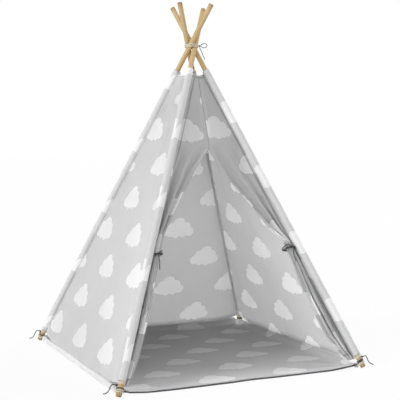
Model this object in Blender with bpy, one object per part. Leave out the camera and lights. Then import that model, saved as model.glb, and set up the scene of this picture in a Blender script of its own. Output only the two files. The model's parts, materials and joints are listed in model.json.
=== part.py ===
"""A kids' teepee, built as the real one is: four wooden poles in sections, a cotton canopy with a sleeve
at each corner and a tied-back door, a floor mat, and the cords that hold them together.

Metres, +Z up. The origin is on the floor below the crossing of the poles, and the door faces -Y.
"""

import math

import bmesh
import bpy
from mathutils import Matrix, Vector

# Poles: plain dowels in three sections, joined by tubes that the sleeves hide
POLE_DIAMETER = 0.022
SECTION_LENGTH = 0.600
SECTION_NAMES = ("lower", "middle", "upper")
END_CHAMFER = 0.0015
FERRULE_LENGTH = 0.080
FERRULE_WALL = 0.0008
POLE_SIDES = 20

# Clearance between pieces that touch on the real object
FIT = 0.0003

# Stance: the square of the feet, and the height where the poles cross
FOOT_SPACING = 1.114
CROSSING_HEIGHT = 1.394
CROSSING_GAP = 0.0006
CLOSED_ANGLE = math.radians(22.0)

# Corner sleeves: bare wood shows below them and between them and the crossing
SLEEVE_DIAMETER = 0.030
SLEEVE_BOTTOM = 0.065
SLEEVE_TO_CROSSING = 0.126
SLEEVE_HEM_LENGTH = 0.018
SLEEVE_HEM_THICKNESS = 0.0006
SLEEVE_SIDES = 18

# Canopy walls
CLOTH_THICKNESS = 0.0016
SEAM_ANGLE = math.radians(20.0)
HEM_HEIGHT = 0.030
HEM_CORNER_POWER = 6
TOP_INSET = 0.008
TOP_DIP = 0.012
WALL_SLACK = 0.010
WALL_COLUMNS = 14
WALL_ROWS = 12

# Door: each half is sewn to the other above the opening and gathered to its pole below.
# Each row: how far up the pole, how wide the cloth shows and how much cloth is folded in that width,
# as shares of the pole up to the crossing and of half the wall's width there.
DOOR_GATHER_SHARES = (
    (0.030, 0.050, 0.240),
    (0.055, 0.075, 0.360),
    (0.103, 0.095, 0.520),
    (0.207, 0.105, 0.580),
    (0.340, 0.100, 0.560),
    (0.400, 0.100, 0.560),
    (0.427, 0.190, 0.500),
    (0.465, 0.295, 0.520),
    (0.539, 0.490, 0.600),
    (0.604, 0.740, 0.765),
    (0.671, 1.000, 1.000),
)
DOOR_FOLDS = 2
DOOR_COLUMNS = 18
DOOR_ROWS = 24
DOOR_BOTTOM = 0.052

# Floor mat with a bound edge: it reaches to the poles' feet, short of them by the corner gap
MAT_THICKNESS = 0.003
MAT_CORNER_RADIUS = 0.023
MAT_CORNER_GAP = 0.014
MAT_CORNER_STEPS = 6
BINDING_DIAMETER = 0.006
BINDING_LIFT = 0.0005

# Cords: the pale lashing and mat loops, and the dark foot ties and door ties
LASHING_DIAMETER = 0.004
LASHING_TURNS = 3
LASHING_PITCH = 0.0048
LASHING_HEADING = math.radians(-30.0)
TIE_DIAMETER = 0.004
TIE_TURNS = 1.5
TIE_PITCH = 0.0048
TIE_HEIGHT = 0.036
LOOP_DIAMETER = 0.004
LOOP_HEIGHT = 0.022
LOOP_OVERLAP = 0.009
LOOP_WIDTH = 0.016
KNOT_DIAMETER = 0.009
KNOT_LENGTH = 0.011
KNOT_LOBES = 3
KNOT_SIDES = 10
DOOR_TIE_SHARE = 0.370
TURN_POINTS = 24
CORD_RESOLUTION = 2
WINDING_RESOLUTION = 1
ROUTE_STEPS = 2

# Routes of the free cords, in metres from the middle of the knot that each leaves: out, sideways, up.
# The first point is a direction: the cord starts there on the knot's surface, and the loop ends so too.
LASHING_LOOP_ROUTE = (
    (0.0039, 0.0000, 0.0028),
    (0.0120, 0.0010, 0.0082),
    (0.0205, 0.0020, 0.0112),
    (0.0290, 0.0015, 0.0085),
    (0.0328, 0.0000, 0.0010),
    (0.0285, -0.0015, -0.0062),
    (0.0200, -0.0020, -0.0085),
    (0.0120, -0.0010, -0.0062),
    (0.0045, 0.0000, -0.0016),
)
LASHING_TAIL_ROUTE = (
    (0.0004, 0.0000, -0.0048),
    (0.0028, 0.0024, -0.0140),
    (0.0085, 0.0050, -0.0250),
    (0.0130, 0.0060, -0.0370),
    (0.0185, 0.0065, -0.0490),
    (0.0240, 0.0060, -0.0600),
)
FOOT_TAIL_ROUTE = (
    (0.0048, 0.0000, 0.0000),
    (0.0120, 0.0010, 0.0030),
    (0.0180, 0.0025, 0.0010),
    (0.0230, 0.0040, -0.0070),
    (0.0270, 0.0050, -0.0170),
    (0.0330, 0.0050, -0.0260),
    (0.0420, 0.0040, -0.0325),
    (0.0520, 0.0010, -0.0345),
)
DOOR_TAIL_ROUTE = (
    (0.0000, 0.0000, -0.0048),
    (-0.0005, 0.0005, -0.0130),
    (-0.0025, 0.0015, -0.0230),
    (-0.0045, 0.0020, -0.0340),
    (-0.0050, 0.0010, -0.0460),
    (-0.0045, -0.0010, -0.0570),
    (-0.0040, -0.0020, -0.0670),
)

# Finishes: base colour, roughness, metallic
PINE = ("pine_wood", (0.72, 0.55, 0.34), 0.55, 0.0)
STEEL = ("ferrule_metal", (0.62, 0.62, 0.63), 0.35, 1.0)
COTTON = ("canopy_cotton", (0.42, 0.42, 0.43), 0.90, 0.0)
MAT_COTTON = ("mat_cotton", (0.40, 0.40, 0.41), 0.90, 0.0)
CHARCOAL = ("dark_binding", (0.03, 0.03, 0.035), 0.85, 0.0)
GREY_TAPE = ("grey_binding", (0.50, 0.50, 0.50), 0.85, 0.0)
PALE_CORD = ("pale_cord", (0.74, 0.71, 0.62), 0.85, 0.0)
DARK_CORD = ("dark_cord", (0.06, 0.06, 0.065), 0.80, 0.0)

# Values that follow from the ones above
POLE_RADIUS = POLE_DIAMETER / 2
FOOT_RADIUS = FOOT_SPACING / math.sqrt(2)
LEAN = math.atan2(FOOT_RADIUS, CROSSING_HEIGHT)
CROSSING_OFFSET = (
    (POLE_DIAMETER + CROSSING_GAP) * math.sqrt(1 + math.cos(LEAN) ** 2) / (2 * math.cos(LEAN))
)
FOOT_TO_CROSSING = math.hypot(
    math.sqrt(FOOT_RADIUS**2 - CROSSING_OFFSET**2), CROSSING_HEIGHT
)
POLE_START = (POLE_RADIUS - END_CHAMFER) * math.tan(LEAN)
FERRULE_RADIUS = POLE_RADIUS + FIT + FERRULE_WALL
SLEEVE_RADIUS = SLEEVE_DIAMETER / 2
SLEEVE_TOP = FOOT_TO_CROSSING - SLEEVE_TO_CROSSING
EDGE_RADIUS = SLEEVE_RADIUS + SLEEVE_HEM_THICKNESS + FIT + CLOTH_THICKNESS / 2
HEM_ALONG = HEM_HEIGHT / math.cos(LEAN)
LASHING_RADIUS = LASHING_DIAMETER / 2
TIE_RADIUS = TIE_DIAMETER / 2
LOOP_RADIUS = LOOP_DIAMETER / 2
KNOT_RADIUS = KNOT_DIAMETER / 2


class Pole:
    """Where one pole stands. Its own frame has its origin at the crossing, X along the axis that it folds
    about, Y square to the pole towards the inside, and Z up the pole."""

    def __init__(self, name, x_sign, y_sign, tie_heading):
        self.name = name
        self.foot = Vector((x_sign * FOOT_SPACING / 2, y_sign * FOOT_SPACING / 2, 0.0))
        turn = (
            math.atan2(self.foot.y, self.foot.x)
            + math.pi / 2
            - math.asin(CROSSING_OFFSET / FOOT_RADIUS)
        )
        self.crossing = Vector(
            (CROSSING_OFFSET * math.cos(turn), CROSSING_OFFSET * math.sin(turn), CROSSING_HEIGHT)
        )
        self.up = (self.crossing - self.foot).normalized()
        self.towards = Vector((self.up.x, self.up.y, 0.0)).normalized()
        self.across = self.towards.cross(Vector((0.0, 0.0, 1.0)))
        self.inward = self.up.cross(self.across)
        self.matrix = Matrix.Translation(self.crossing) @ (
            Matrix((self.across, self.inward, self.up)).transposed().to_4x4()
        )
        heading = Vector((math.cos(tie_heading), math.sin(tie_heading), 0.0))
        self.tie_angle = math.atan2(heading.dot(self.inward), heading.dot(self.across))
        self.frame = bpy.data.objects.new(name + "_fold_axis", None)
        bpy.context.collection.objects.link(self.frame)
        self.frame.matrix_world = self.matrix

    def at(self, across, inward, along):
        """A point beside the pole, along being the way up from the floor."""
        return self.matrix @ Vector((across, inward, along - FOOT_TO_CROSSING))


def finish(finish_values):
    """A material of its own for one object."""
    name, colour, roughness, metallic = finish_values
    material = bpy.data.materials.new(name)
    material.use_nodes = True
    shader = material.node_tree.nodes["Principled BSDF"]
    shader.inputs["Base Color"].default_value = (*colour, 1.0)
    shader.inputs["Roughness"].default_value = roughness
    shader.inputs["Metallic"].default_value = metallic
    material.diffuse_color = (*colour, 1.0)
    return material


def add(name, data, finish_values, pole=None):
    """Links an object whose points are in the world frame, or in its pole's frame where it has one."""
    data.materials.append(finish(finish_values))
    piece = bpy.data.objects.new(name, data)
    bpy.context.collection.objects.link(piece)
    if pole:
        piece.parent = pole.frame
    return piece


def mesh_from(build, smooth=True):
    """Makes a mesh of what the given function builds in a bmesh."""
    shape = bmesh.new()
    build(shape)
    bmesh.ops.recalc_face_normals(shape, faces=shape.faces)
    mesh = bpy.data.meshes.new("shape")
    shape.to_mesh(mesh)
    shape.free()
    if smooth:
        mesh.shade_smooth()
        mesh.set_sharp_from_angle(angle=math.radians(35.0))
    return mesh


def turned(profile, sides, bore):
    """A profile of (radius, height) pairs spun about Z: a ring with a bore, or a solid that its ends close."""

    def build(shape):
        rings = []
        for radius, height in profile:
            rings.append(
                [
                    shape.verts.new(
                        (
                            radius * math.cos(2 * math.pi * side / sides),
                            radius * math.sin(2 * math.pi * side / sides),
                            height,
                        )
                    )
                    for side in range(sides)
                ]
            )
        pairs = list(zip(rings, rings[1:]))
        if bore:
            pairs.append((rings[-1], rings[0]))
        else:
            shape.faces.new(rings[0])
            shape.faces.new(rings[-1])
        for lower, upper in pairs:
            for side in range(sides):
                after = (side + 1) % sides
                shape.faces.new((lower[side], lower[after], upper[after], upper[side]))

    return mesh_from(build)


def smooth_route(points, steps):
    """Points on a smooth curve through a cord's own points, closer together by the given steps."""
    route = []
    for index in range(len(points) - 1):
        before = points[max(index - 1, 0)]
        start, end = points[index], points[index + 1]
        after = points[min(index + 2, len(points) - 1)]
        for step in range(steps):
            t = step / steps
            route.append(
                0.5
                * (
                    2 * start
                    + (end - before) * t
                    + (2 * before - 5 * start + 4 * end - after) * t**2
                    + (3 * start - before - 3 * end + after) * t**3
                )
            )
    route.append(points[-1])
    return route


def cord(name, points, diameter, resolution, finish_values, pole=None):
    """A round cord along world points, its ends closed."""
    curve = bpy.data.curves.new(name, "CURVE")
    curve.dimensions = "3D"
    curve.bevel_depth = diameter / 2
    curve.bevel_resolution = resolution
    curve.use_fill_caps = True
    spline = curve.splines.new("POLY")
    spline.points.add(len(points) - 1)
    inverse = pole.matrix.inverted() if pole else Matrix.Identity(4)
    for place, point in zip(spline.points, points):
        place.co = (*(inverse @ point), 1.0)
    return add(name, curve, finish_values, pole)


def free_cord(name, centre, axes, table, diameter, finish_values, pole=None, returns=False):
    """A cord that leaves the surface of a knot, and may return to it, along a route chosen by hand."""
    offsets = [sum((axis * size for axis, size in zip(axes, row)), Vector()) for row in table]
    offsets[0] = offsets[0].normalized() * (KNOT_RADIUS + FIT)
    if returns:
        offsets[-1] = offsets[-1].normalized() * (KNOT_RADIUS + FIT)
    route = smooth_route([centre + offset for offset in offsets], ROUTE_STEPS)
    cord(name, route, diameter, CORD_RESOLUTION, finish_values, pole)


def seat(spacing, cord_radius):
    """How far a knot's middle lies from the plane of two cords that it rests on."""
    return math.sqrt((KNOT_RADIUS + FIT + cord_radius) ** 2 - (spacing / 2) ** 2)


def print_least_gap(name, points, diameter, turn_points):
    """Prints how far apart the nearest turns of a winding lie, measured on its points."""
    least = min(
        (points[i] - points[j]).length
        for i in range(len(points))
        for j in range(i + turn_points // 2, len(points))
    )
    print(f"{name}: least gap between turns {1000 * (least - diameter):.2f} mm")


def knot(name, centre, direction, finish_values, pole=None):
    """A small barrel knot whose wraps show as lobes, with its axis along the given direction."""
    profile = []
    steps = 3 * KNOT_LOBES
    for step in range(steps + 1):
        share = step / steps
        lobe = abs(math.sin(math.pi * KNOT_LOBES * share)) ** 0.5
        barrel = 0.62 + 0.28 * math.sin(math.pi * share)
        profile.append(
            (KNOT_RADIUS * (barrel + 0.10 * lobe), KNOT_LENGTH * (share - 0.5))
        )
    piece = add(name, turned(profile, KNOT_SIDES, False), finish_values, pole)
    place = Matrix.Translation(centre) @ direction.to_track_quat("Z", "Y").to_matrix().to_4x4()
    piece.matrix_local = (pole.matrix.inverted() if pole else Matrix.Identity(4)) @ place
    return piece


def build_pole(pole):
    """The sections of one pole, the tubes that join them and the sleeve over them."""
    step = SECTION_LENGTH + FIT
    for index, section in enumerate(SECTION_NAMES):
        bottom = POLE_START + index * step - FOOT_TO_CROSSING
        profile = [
            (POLE_RADIUS - END_CHAMFER, 0.0),
            (POLE_RADIUS, END_CHAMFER),
            (POLE_RADIUS, SECTION_LENGTH - END_CHAMFER),
            (POLE_RADIUS - END_CHAMFER, SECTION_LENGTH),
        ]
        bar = add(f"{pole.name}_pole_{section}", turned(profile, POLE_SIDES, False), PINE, pole)
        bar.location.z = bottom
        if index:
            inner = POLE_RADIUS + FIT
            tube = add(
                f"{pole.name}_ferrule_{SECTION_NAMES[index - 1]}",
                turned(
                    [
                        (inner, -FERRULE_LENGTH / 2),
                        (FERRULE_RADIUS, -FERRULE_LENGTH / 2),
                        (FERRULE_RADIUS, FERRULE_LENGTH / 2),
                        (inner, FERRULE_LENGTH / 2),
                    ],
                    POLE_SIDES,
                    True,
                ),
                STEEL,
                pole,
            )
            tube.location.z = bottom - FIT / 2
    length = SLEEVE_TOP - SLEEVE_BOTTOM
    bore = FERRULE_RADIUS + FIT
    hem = SLEEVE_RADIUS + SLEEVE_HEM_THICKNESS
    sleeve = add(
        f"{pole.name}_sleeve",
        turned(
            [
                (bore, 0.0),
                (hem, 0.0),
                (hem, SLEEVE_HEM_LENGTH),
                (SLEEVE_RADIUS, SLEEVE_HEM_LENGTH + SLEEVE_HEM_THICKNESS),
                (SLEEVE_RADIUS, length - SLEEVE_HEM_LENGTH - SLEEVE_HEM_THICKNESS),
                (hem, length - SLEEVE_HEM_LENGTH),
                (hem, length),
                (bore, length),
            ],
            SLEEVE_SIDES,
            True,
        ),
        COTTON,
        pole,
    )
    sleeve.location.z = SLEEVE_BOTTOM - FOOT_TO_CROSSING


def seam_point(pole, side, along):
    """Where a wall meets the inner side of a pole's sleeve. side is 1 towards the next pole, anticlockwise
    from above, and -1 towards the one before."""
    return pole.at(
        side * EDGE_RADIUS * math.sin(SEAM_ANGLE), EDGE_RADIUS * math.cos(SEAM_ANGLE), along
    )


def top_along(across_share):
    """How far up the poles a wall reaches, at a share of its width."""
    return SLEEVE_TOP - TOP_INSET - TOP_DIP * 4 * across_share * (1 - across_share)


def cloth(name, rows, finish_values):
    """A sheet through rows of points, with the thickness of the cloth."""

    def build(shape):
        grid = [[shape.verts.new(point) for point in row] for row in rows]
        for lower, upper in zip(grid, grid[1:]):
            for column in range(len(lower) - 1):
                shape.faces.new(
                    (lower[column], lower[column + 1], upper[column + 1], upper[column])
                )

    piece = add(name, mesh_from(build), finish_values)
    thicken = piece.modifiers.new("cloth", "SOLIDIFY")
    thicken.thickness = CLOTH_THICKNESS
    thicken.offset = 0.0
    thicken.use_even_offset = True
    return piece


def build_wall(name, first, second):
    """A wall between two poles: taut at its seams, a little slack in its middle, its hem near the floor."""
    inward = (seam_point(first, 1, 0.0) - seam_point(second, -1, 0.0)).cross(first.up + second.up)
    inward.normalize()
    rows = []
    for row in range(WALL_ROWS + 1):
        up_share = row / WALL_ROWS
        points = []
        for column in range(WALL_COLUMNS + 1):
            share = (1 - math.cos(math.pi * column / WALL_COLUMNS)) / 2
            corner = abs(2 * share - 1) ** HEM_CORNER_POWER
            bottom = HEM_ALONG + (SLEEVE_BOTTOM - HEM_ALONG) * corner
            along = bottom + (top_along(share) - bottom) * up_share
            slack = WALL_SLACK * 4 * share * (1 - share) * math.sin(math.pi * up_share**0.7)
            start, end = seam_point(first, 1, along), seam_point(second, -1, along)
            points.append(start.lerp(end, share) + inward * slack)
        rows.append(points)
    cloth(name, rows, COTTON)


def folded_section(width, length):
    """Cloth of a length folded into a width, as (across, inward) pairs: its heading swings from side to
    side as a sine, which folds it without stretching."""
    headings = [
        math.sin(2 * math.pi * DOOR_FOLDS * (step + 0.5) / DOOR_COLUMNS)
        for step in range(DOOR_COLUMNS)
    ]
    low, high = 0.0, math.radians(135.0)
    for _ in range(40):
        swing = (low + high) / 2
        reach = length * sum(math.cos(swing * h) for h in headings) / DOOR_COLUMNS
        low, high = (swing, high) if reach > width else (low, swing)
    section, across, inward = [(0.0, 0.0)], 0.0, 0.0
    for h in headings:
        across += length / DOOR_COLUMNS * math.cos(low * h)
        inward += length / DOOR_COLUMNS * math.sin(low * h)
        section.append((across, inward))
    return section


def gather_at(along):
    """The visible width and the folded length of a door half, as shares of half the wall's width."""
    share = along / FOOT_TO_CROSSING
    table = DOOR_GATHER_SHARES
    if share <= table[0][0]:
        return table[0][1:]
    for (low, *below), (high, *above) in zip(table, table[1:]):
        if share < high:
            part = (share - low) / (high - low)
            return [b + (a - b) * part for b, a in zip(below, above)]
    return table[-1][1:]


def door_section(pole, other, side, along):
    """The start, the two directions and the folded section of a door half at one height."""
    start, far = seam_point(pole, side, along), seam_point(other, -side, along)
    across = (far - start).normalized()
    inward = side * pole.up.cross(across)
    inward.normalize()
    half = (far - start).length / 2 - FIT / 2
    width, length = gather_at(along)
    return start, across, inward, folded_section(half * width, half * length)


def build_door_half(name, pole, other, side):
    """One half of the front wall: flat above the opening, gathered in folds to its pole below."""
    rows = []
    for row in range(DOOR_ROWS + 1):
        points = []
        for column in range(DOOR_COLUMNS + 1):
            top = top_along(column / DOOR_COLUMNS / 2)
            along = DOOR_BOTTOM + (top - DOOR_BOTTOM) * row / DOOR_ROWS
            start, across, inward, section = door_section(pole, other, side, along)
            points.append(start + across * section[column][0] + inward * section[column][1])
        rows.append(points)
    cloth(name, rows, COTTON)


def build_door_tie(name, pole, other, side):
    """A doubled cord from the sleeve's seam round the gathered cloth and back, its knot and its end."""
    along = DOOR_TIE_SHARE * FOOT_TO_CROSSING
    start, across, inward, section = door_section(pole, other, side, along)
    width = max(point[0] for point in section)
    depth = max(point[1] for point in section)
    off = CLOTH_THICKNESS / 2 + 2 * FIT + TIE_RADIUS
    lead = TIE_RADIUS + POLE_DIAMETER / 16
    bend = [math.pi / 2 * step / 3 for step in range(4)]
    turn = [(lead, -off), (width / 2, -off)]
    turn += [(width + off * math.sin(a), -off * math.cos(a)) for a in bend]
    turn += [(width + off * math.cos(a), depth + off * math.sin(a)) for a in bend]
    turn += [(width / 2, depth + off), (0.0, depth + off)]
    rise = (pole.up - across * pole.up.dot(across)).normalized()
    drop = rise * (TIE_DIAMETER + 2 * FIT)
    upper = [start + across * x + inward * y for x, y in turn]
    lower = [point - drop for point in reversed(upper)]
    hairpin = (upper[-1] + lower[0]) / 2 - across * TIE_RADIUS
    cord(name, upper + [hairpin] + lower, TIE_DIAMETER, WINDING_RESOLUTION, DARK_CORD, pole)
    centre = (
        start
        + across * width / 2
        - inward * (off + seat(drop.length, TIE_RADIUS))
        - drop / 2
    )
    knot(name + "_knot", centre, across, DARK_CORD, pole)
    axes = (-inward, across, rise)
    free_cord(name + "_end", centre, axes, DOOR_TAIL_ROUTE, TIE_DIAMETER, DARK_CORD, pole)


def build_foot(pole):
    """The pale loop from the mat's corner round the pole, and the dark cord tied above it."""
    rim = mat_corner_reach() - LOOP_OVERLAP
    tip = pole.matrix.inverted() @ (
        pole.foot.normalized() * rim + Vector((0.0, 0.0, MAT_THICKNESS + FIT + LOOP_RADIUS))
    )
    radius = POLE_RADIUS + FIT + LOOP_RADIUS
    height = LOOP_HEIGHT - FOOT_TO_CROSSING
    leg = [
        (LOOP_WIDTH / 2, tip.y, tip.z),
        (radius * 0.80, (tip.y + radius) / 2, (tip.z + height) / 2),
        (radius * 1.03, radius / 2, height),
    ]
    arc = [
        (radius * math.cos(math.pi * step / 10), -radius * math.sin(math.pi * step / 10), height)
        for step in range(11)
    ]
    path = leg + arc + [(-x, y, z) for x, y, z in reversed(leg)]
    cord(
        f"{pole.name}_mat_loop",
        [pole.matrix @ Vector(point) for point in path],
        LOOP_DIAMETER,
        WINDING_RESOLUTION,
        PALE_CORD,
        pole,
    )

    radius = POLE_RADIUS + 2 * FIT + TIE_RADIUS
    count = round(TIE_TURNS * TURN_POINTS)
    winding = []
    for step in range(count + 1):
        angle = pole.tie_angle + 2 * math.pi * (step / TURN_POINTS - TIE_TURNS)
        rise = TIE_PITCH * (step / TURN_POINTS - TIE_TURNS / 2)
        winding.append(
            pole.at(radius * math.cos(angle), radius * math.sin(angle), TIE_HEIGHT + rise)
        )
    cord(f"{pole.name}_foot_tie", winding, TIE_DIAMETER, WINDING_RESOLUTION, DARK_CORD, pole)
    print_least_gap(f"{pole.name}_foot_tie", winding, TIE_DIAMETER, TURN_POINTS)

    reach = POLE_RADIUS + 2 * FIT + KNOT_RADIUS
    along = TIE_HEIGHT + TIE_PITCH * TIE_TURNS / 2 + TIE_RADIUS + FIT + KNOT_RADIUS
    out = Vector((math.cos(pole.tie_angle), math.sin(pole.tie_angle), 0.0))
    out = pole.matrix.to_3x3() @ out
    centre = pole.at(reach * math.cos(pole.tie_angle), reach * math.sin(pole.tie_angle), along)
    sideways = pole.up.cross(out)
    knot(f"{pole.name}_foot_tie_knot", centre, sideways, DARK_CORD, pole)
    flat = Vector((out.x, out.y, 0.0)).normalized()
    beside = Vector((-flat.y, flat.x, 0.0))
    axes = (flat, beside, Vector((0.0, 0.0, 1.0)))
    name = f"{pole.name}_foot_tie_end"
    free_cord(name, centre, axes, FOOT_TAIL_ROUTE, TIE_DIAMETER, DARK_CORD, pole)


def mat_corner_reach():
    """How far out the mat's rounded corner comes, short of the inner rim of a pole's foot."""
    rim = FOOT_RADIUS - POLE_START * math.sin(LEAN) - POLE_RADIUS * math.cos(LEAN)
    return rim - MAT_CORNER_GAP


def mat_outline(grow):
    """The mat's outline, grown by a distance: straight sides and round corners that clear the poles."""
    points = []
    for corner in range(4):
        middle = math.pi / 4 + corner * math.pi / 2
        centre = Vector((math.cos(middle), math.sin(middle)))
        centre *= mat_corner_reach() - MAT_CORNER_RADIUS
        for step in range(MAT_CORNER_STEPS + 1):
            angle = corner * math.pi / 2 + math.pi / 2 * step / MAT_CORNER_STEPS
            points.append(
                centre
                + Vector((math.cos(angle), math.sin(angle))) * (MAT_CORNER_RADIUS + grow)
            )
    return points


def build_mat():
    """The flat mat, the dark binding along its door edge and the grey ones along its other three."""

    def build(shape):
        face = shape.faces.new([shape.verts.new((p.x, p.y, 0.0)) for p in mat_outline(0.0)])
        lifted = bmesh.ops.extrude_face_region(shape, geom=[face])["geom"]
        for item in lifted:
            if isinstance(item, bmesh.types.BMVert):
                item.co.z += MAT_THICKNESS

    add("floor_mat", mesh_from(build, smooth=False), MAT_COTTON)
    radius = BINDING_DIAMETER / 2
    edge = mat_outline(FIT + radius)
    height = radius + BINDING_LIFT
    for side, (name, finish_values) in enumerate(
        (("rear", GREY_TAPE), ("left", GREY_TAPE), ("front", CHARCOAL), ("right", GREY_TAPE))
    ):
        ends = ((side + 1) * (MAT_CORNER_STEPS + 1) - 1, (side + 1) * (MAT_CORNER_STEPS + 1))
        points = [Vector((*edge[end % len(edge)], height)) for end in ends]
        cord(f"mat_binding_{name}", points, BINDING_DIAMETER, CORD_RESOLUTION, finish_values)


def lashing_point(poles, heading, height, reach):
    """The point of the lashing that faces a heading: on the hull of the poles as they stand and as they
    fold, at a height from the crossing, its middle a reach away from the poles' axes."""
    out = Vector((math.cos(heading), math.sin(heading), 0.0))
    best, place = -math.inf, None
    for pole in poles:
        for lean in (LEAN, LEAN - CLOSED_ANGLE):
            centre = pole.crossing + pole.towards * height * math.tan(lean)
            long_way = out.dot(pole.towards) / math.cos(LEAN) ** 2
            short_way = out.dot(pole.across)
            spread = math.sqrt(long_way * out.dot(pole.towards) + short_way**2)
            support = centre.dot(out) + reach * spread
            if support > best:
                best = support
                offset = (pole.towards * long_way + pole.across * short_way) * reach / spread
                place = centre + offset
    return Vector((place.x, place.y, CROSSING_HEIGHT + height))


def build_lashing(poles):
    """The cord wound round the crossing, its knot, the loop of its bow and its hanging end."""
    reach = POLE_RADIUS + 2 * FIT + LASHING_RADIUS
    count = LASHING_TURNS * TURN_POINTS
    winding = []
    for step in range(count + 1):
        heading = LASHING_HEADING + 2 * math.pi * (step + 0.5) / TURN_POINTS
        height = LASHING_PITCH * (step / TURN_POINTS - LASHING_TURNS / 2)
        winding.append(lashing_point(poles, heading, height, reach))
    cord("lashing_winding", winding, LASHING_DIAMETER, WINDING_RESOLUTION, PALE_CORD)
    print_least_gap("lashing_winding", winding, LASHING_DIAMETER, TURN_POINTS)

    out = Vector((math.cos(LASHING_HEADING), math.sin(LASHING_HEADING), 0.0))
    beside = Vector((-out.y, out.x, 0.0))
    skin = lashing_point(poles, LASHING_HEADING, 0.0, reach)
    centre = skin + out * seat(LASHING_PITCH, LASHING_RADIUS)
    knot("lashing_knot", centre, beside, PALE_CORD)
    axes = (out, beside, Vector((0.0, 0.0, 1.0)))
    for name, table, returns in (
        ("lashing_loop", LASHING_LOOP_ROUTE, True),
        ("lashing_end", LASHING_TAIL_ROUTE, False),
    ):
        free_cord(name, centre, axes, table, LASHING_DIAMETER, PALE_CORD, returns=returns)


def build():
    """The whole teepee."""
    for leftover in list(bpy.data.objects):
        bpy.data.objects.remove(leftover)
    beside_left, beside_right = math.radians(155.0), math.radians(-25.0)
    front_left = Pole("front_left", -1, -1, beside_left)
    front_right = Pole("front_right", 1, -1, beside_right)
    rear_right = Pole("rear_right", 1, 1, beside_right)
    rear_left = Pole("rear_left", -1, 1, beside_left)
    poles = (front_left, front_right, rear_right, rear_left)
    bpy.context.view_layer.update()
    for pole in poles:
        build_pole(pole)
        build_foot(pole)
    build_wall("right_wall", front_right, rear_right)
    build_wall("rear_wall", rear_right, rear_left)
    build_wall("left_wall", rear_left, front_left)
    build_door_half("door_left", front_left, front_right, 1)
    build_door_half("door_right", front_right, front_left, -1)
    build_door_tie("door_tie_left", front_left, front_right, 1)
    build_door_tie("door_tie_right", front_right, front_left, -1)
    build_mat()
    build_lashing(poles)
    for pole in poles:
        point, axis = pole.crossing, pole.across
        print(f"{pole.name}: fold axis through {point[:]} along {axis[:]}")


build()
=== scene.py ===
"""The looks of a kids' teepee: its poles, cotton canopy, sleeves, tied-back door, mat and cords.

Every piece is built in metres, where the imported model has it, and rides on one of its bodies.
+Z is up, the origin is on the floor below the crossing of the poles, and the door faces -Y.
"""

from __future__ import annotations

import json
import logging
import math
from collections.abc import Sequence
from dataclasses import dataclass, field
from enum import Enum

import bpy
from bpy.types import ID, Material, Node, NodeSocket, NodeTree, Object
from mathutils import Matrix, Vector, noise

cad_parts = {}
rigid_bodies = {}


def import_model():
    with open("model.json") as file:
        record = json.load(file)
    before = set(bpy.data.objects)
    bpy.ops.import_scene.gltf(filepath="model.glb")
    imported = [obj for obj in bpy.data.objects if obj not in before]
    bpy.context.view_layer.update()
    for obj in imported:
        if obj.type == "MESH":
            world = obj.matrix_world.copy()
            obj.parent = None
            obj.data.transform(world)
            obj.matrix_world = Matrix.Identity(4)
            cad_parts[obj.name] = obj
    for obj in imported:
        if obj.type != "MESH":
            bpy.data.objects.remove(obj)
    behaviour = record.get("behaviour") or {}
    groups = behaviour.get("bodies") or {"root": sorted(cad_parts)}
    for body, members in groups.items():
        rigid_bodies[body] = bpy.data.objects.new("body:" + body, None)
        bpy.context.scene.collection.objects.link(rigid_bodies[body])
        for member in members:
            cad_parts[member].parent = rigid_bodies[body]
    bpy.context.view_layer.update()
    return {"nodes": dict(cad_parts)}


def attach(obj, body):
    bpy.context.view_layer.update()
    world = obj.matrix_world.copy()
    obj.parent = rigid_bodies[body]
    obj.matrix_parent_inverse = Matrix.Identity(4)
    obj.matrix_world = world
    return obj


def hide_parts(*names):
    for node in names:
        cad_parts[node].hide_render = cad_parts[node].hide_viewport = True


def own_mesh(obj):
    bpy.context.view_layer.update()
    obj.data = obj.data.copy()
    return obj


LOG = logging.getLogger("teepee")
UP = Vector((0.0, 0.0, 1.0))
NOISE_GAIN = 1.6
NODES_IN_ROW = 8
NODE_SPACE = (220, 260)
FACE_WEIGHT = 80
HALVINGS = 30


# Geometry that every piece uses


def smooth_step(value: float, low: float, high: float) -> float:
    """Goes from 0 at low to 1 at high, with no corner at either."""
    share = min(max((value - low) / (high - low), 0.0), 1.0)
    return share * share * (3.0 - 2.0 * share)


def wave(x: float, y: float, seed: float) -> float:
    """A smooth random height from about -1 to 1, the same each run."""
    return NOISE_GAIN * noise.noise(Vector((x, y, seed)))


def level(angle: float) -> Vector:
    """The level direction at an angle from +X."""
    return Vector((math.cos(angle), math.sin(angle), 0.0))


def beside(direction: Vector) -> Vector:
    """The level direction a quarter turn on from another, anticlockwise from above."""
    return Vector((-direction.y, direction.x, 0.0))


def smooth_route(points: Sequence[Vector], steps: int) -> list[Vector]:
    """Points on a smooth curve through a cord's own points.

    Args:
        points: The cord's own points.
        steps: How many stretches each stretch between two of them is cut into.

    Returns:
        The points of the curve, from the first of the cord's points to the last.
    """
    route = []
    for index in range(len(points) - 1):
        before = points[max(index - 1, 0)]
        start, end = points[index], points[index + 1]
        after = points[min(index + 2, len(points) - 1)]
        for step in range(steps):
            t = step / steps
            route.append(
                0.5
                * (
                    2 * start
                    + (end - before) * t
                    + (2 * before - 5 * start + 4 * end - after) * t**2
                    + (3 * start - before - 3 * end + after) * t**3
                )
            )
    route.append(points[-1])
    return route


def route_length(points: Sequence[Vector]) -> float:
    """How long the line through the points is."""
    return sum((after - before).length for before, after in zip(points, points[1:]))


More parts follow.
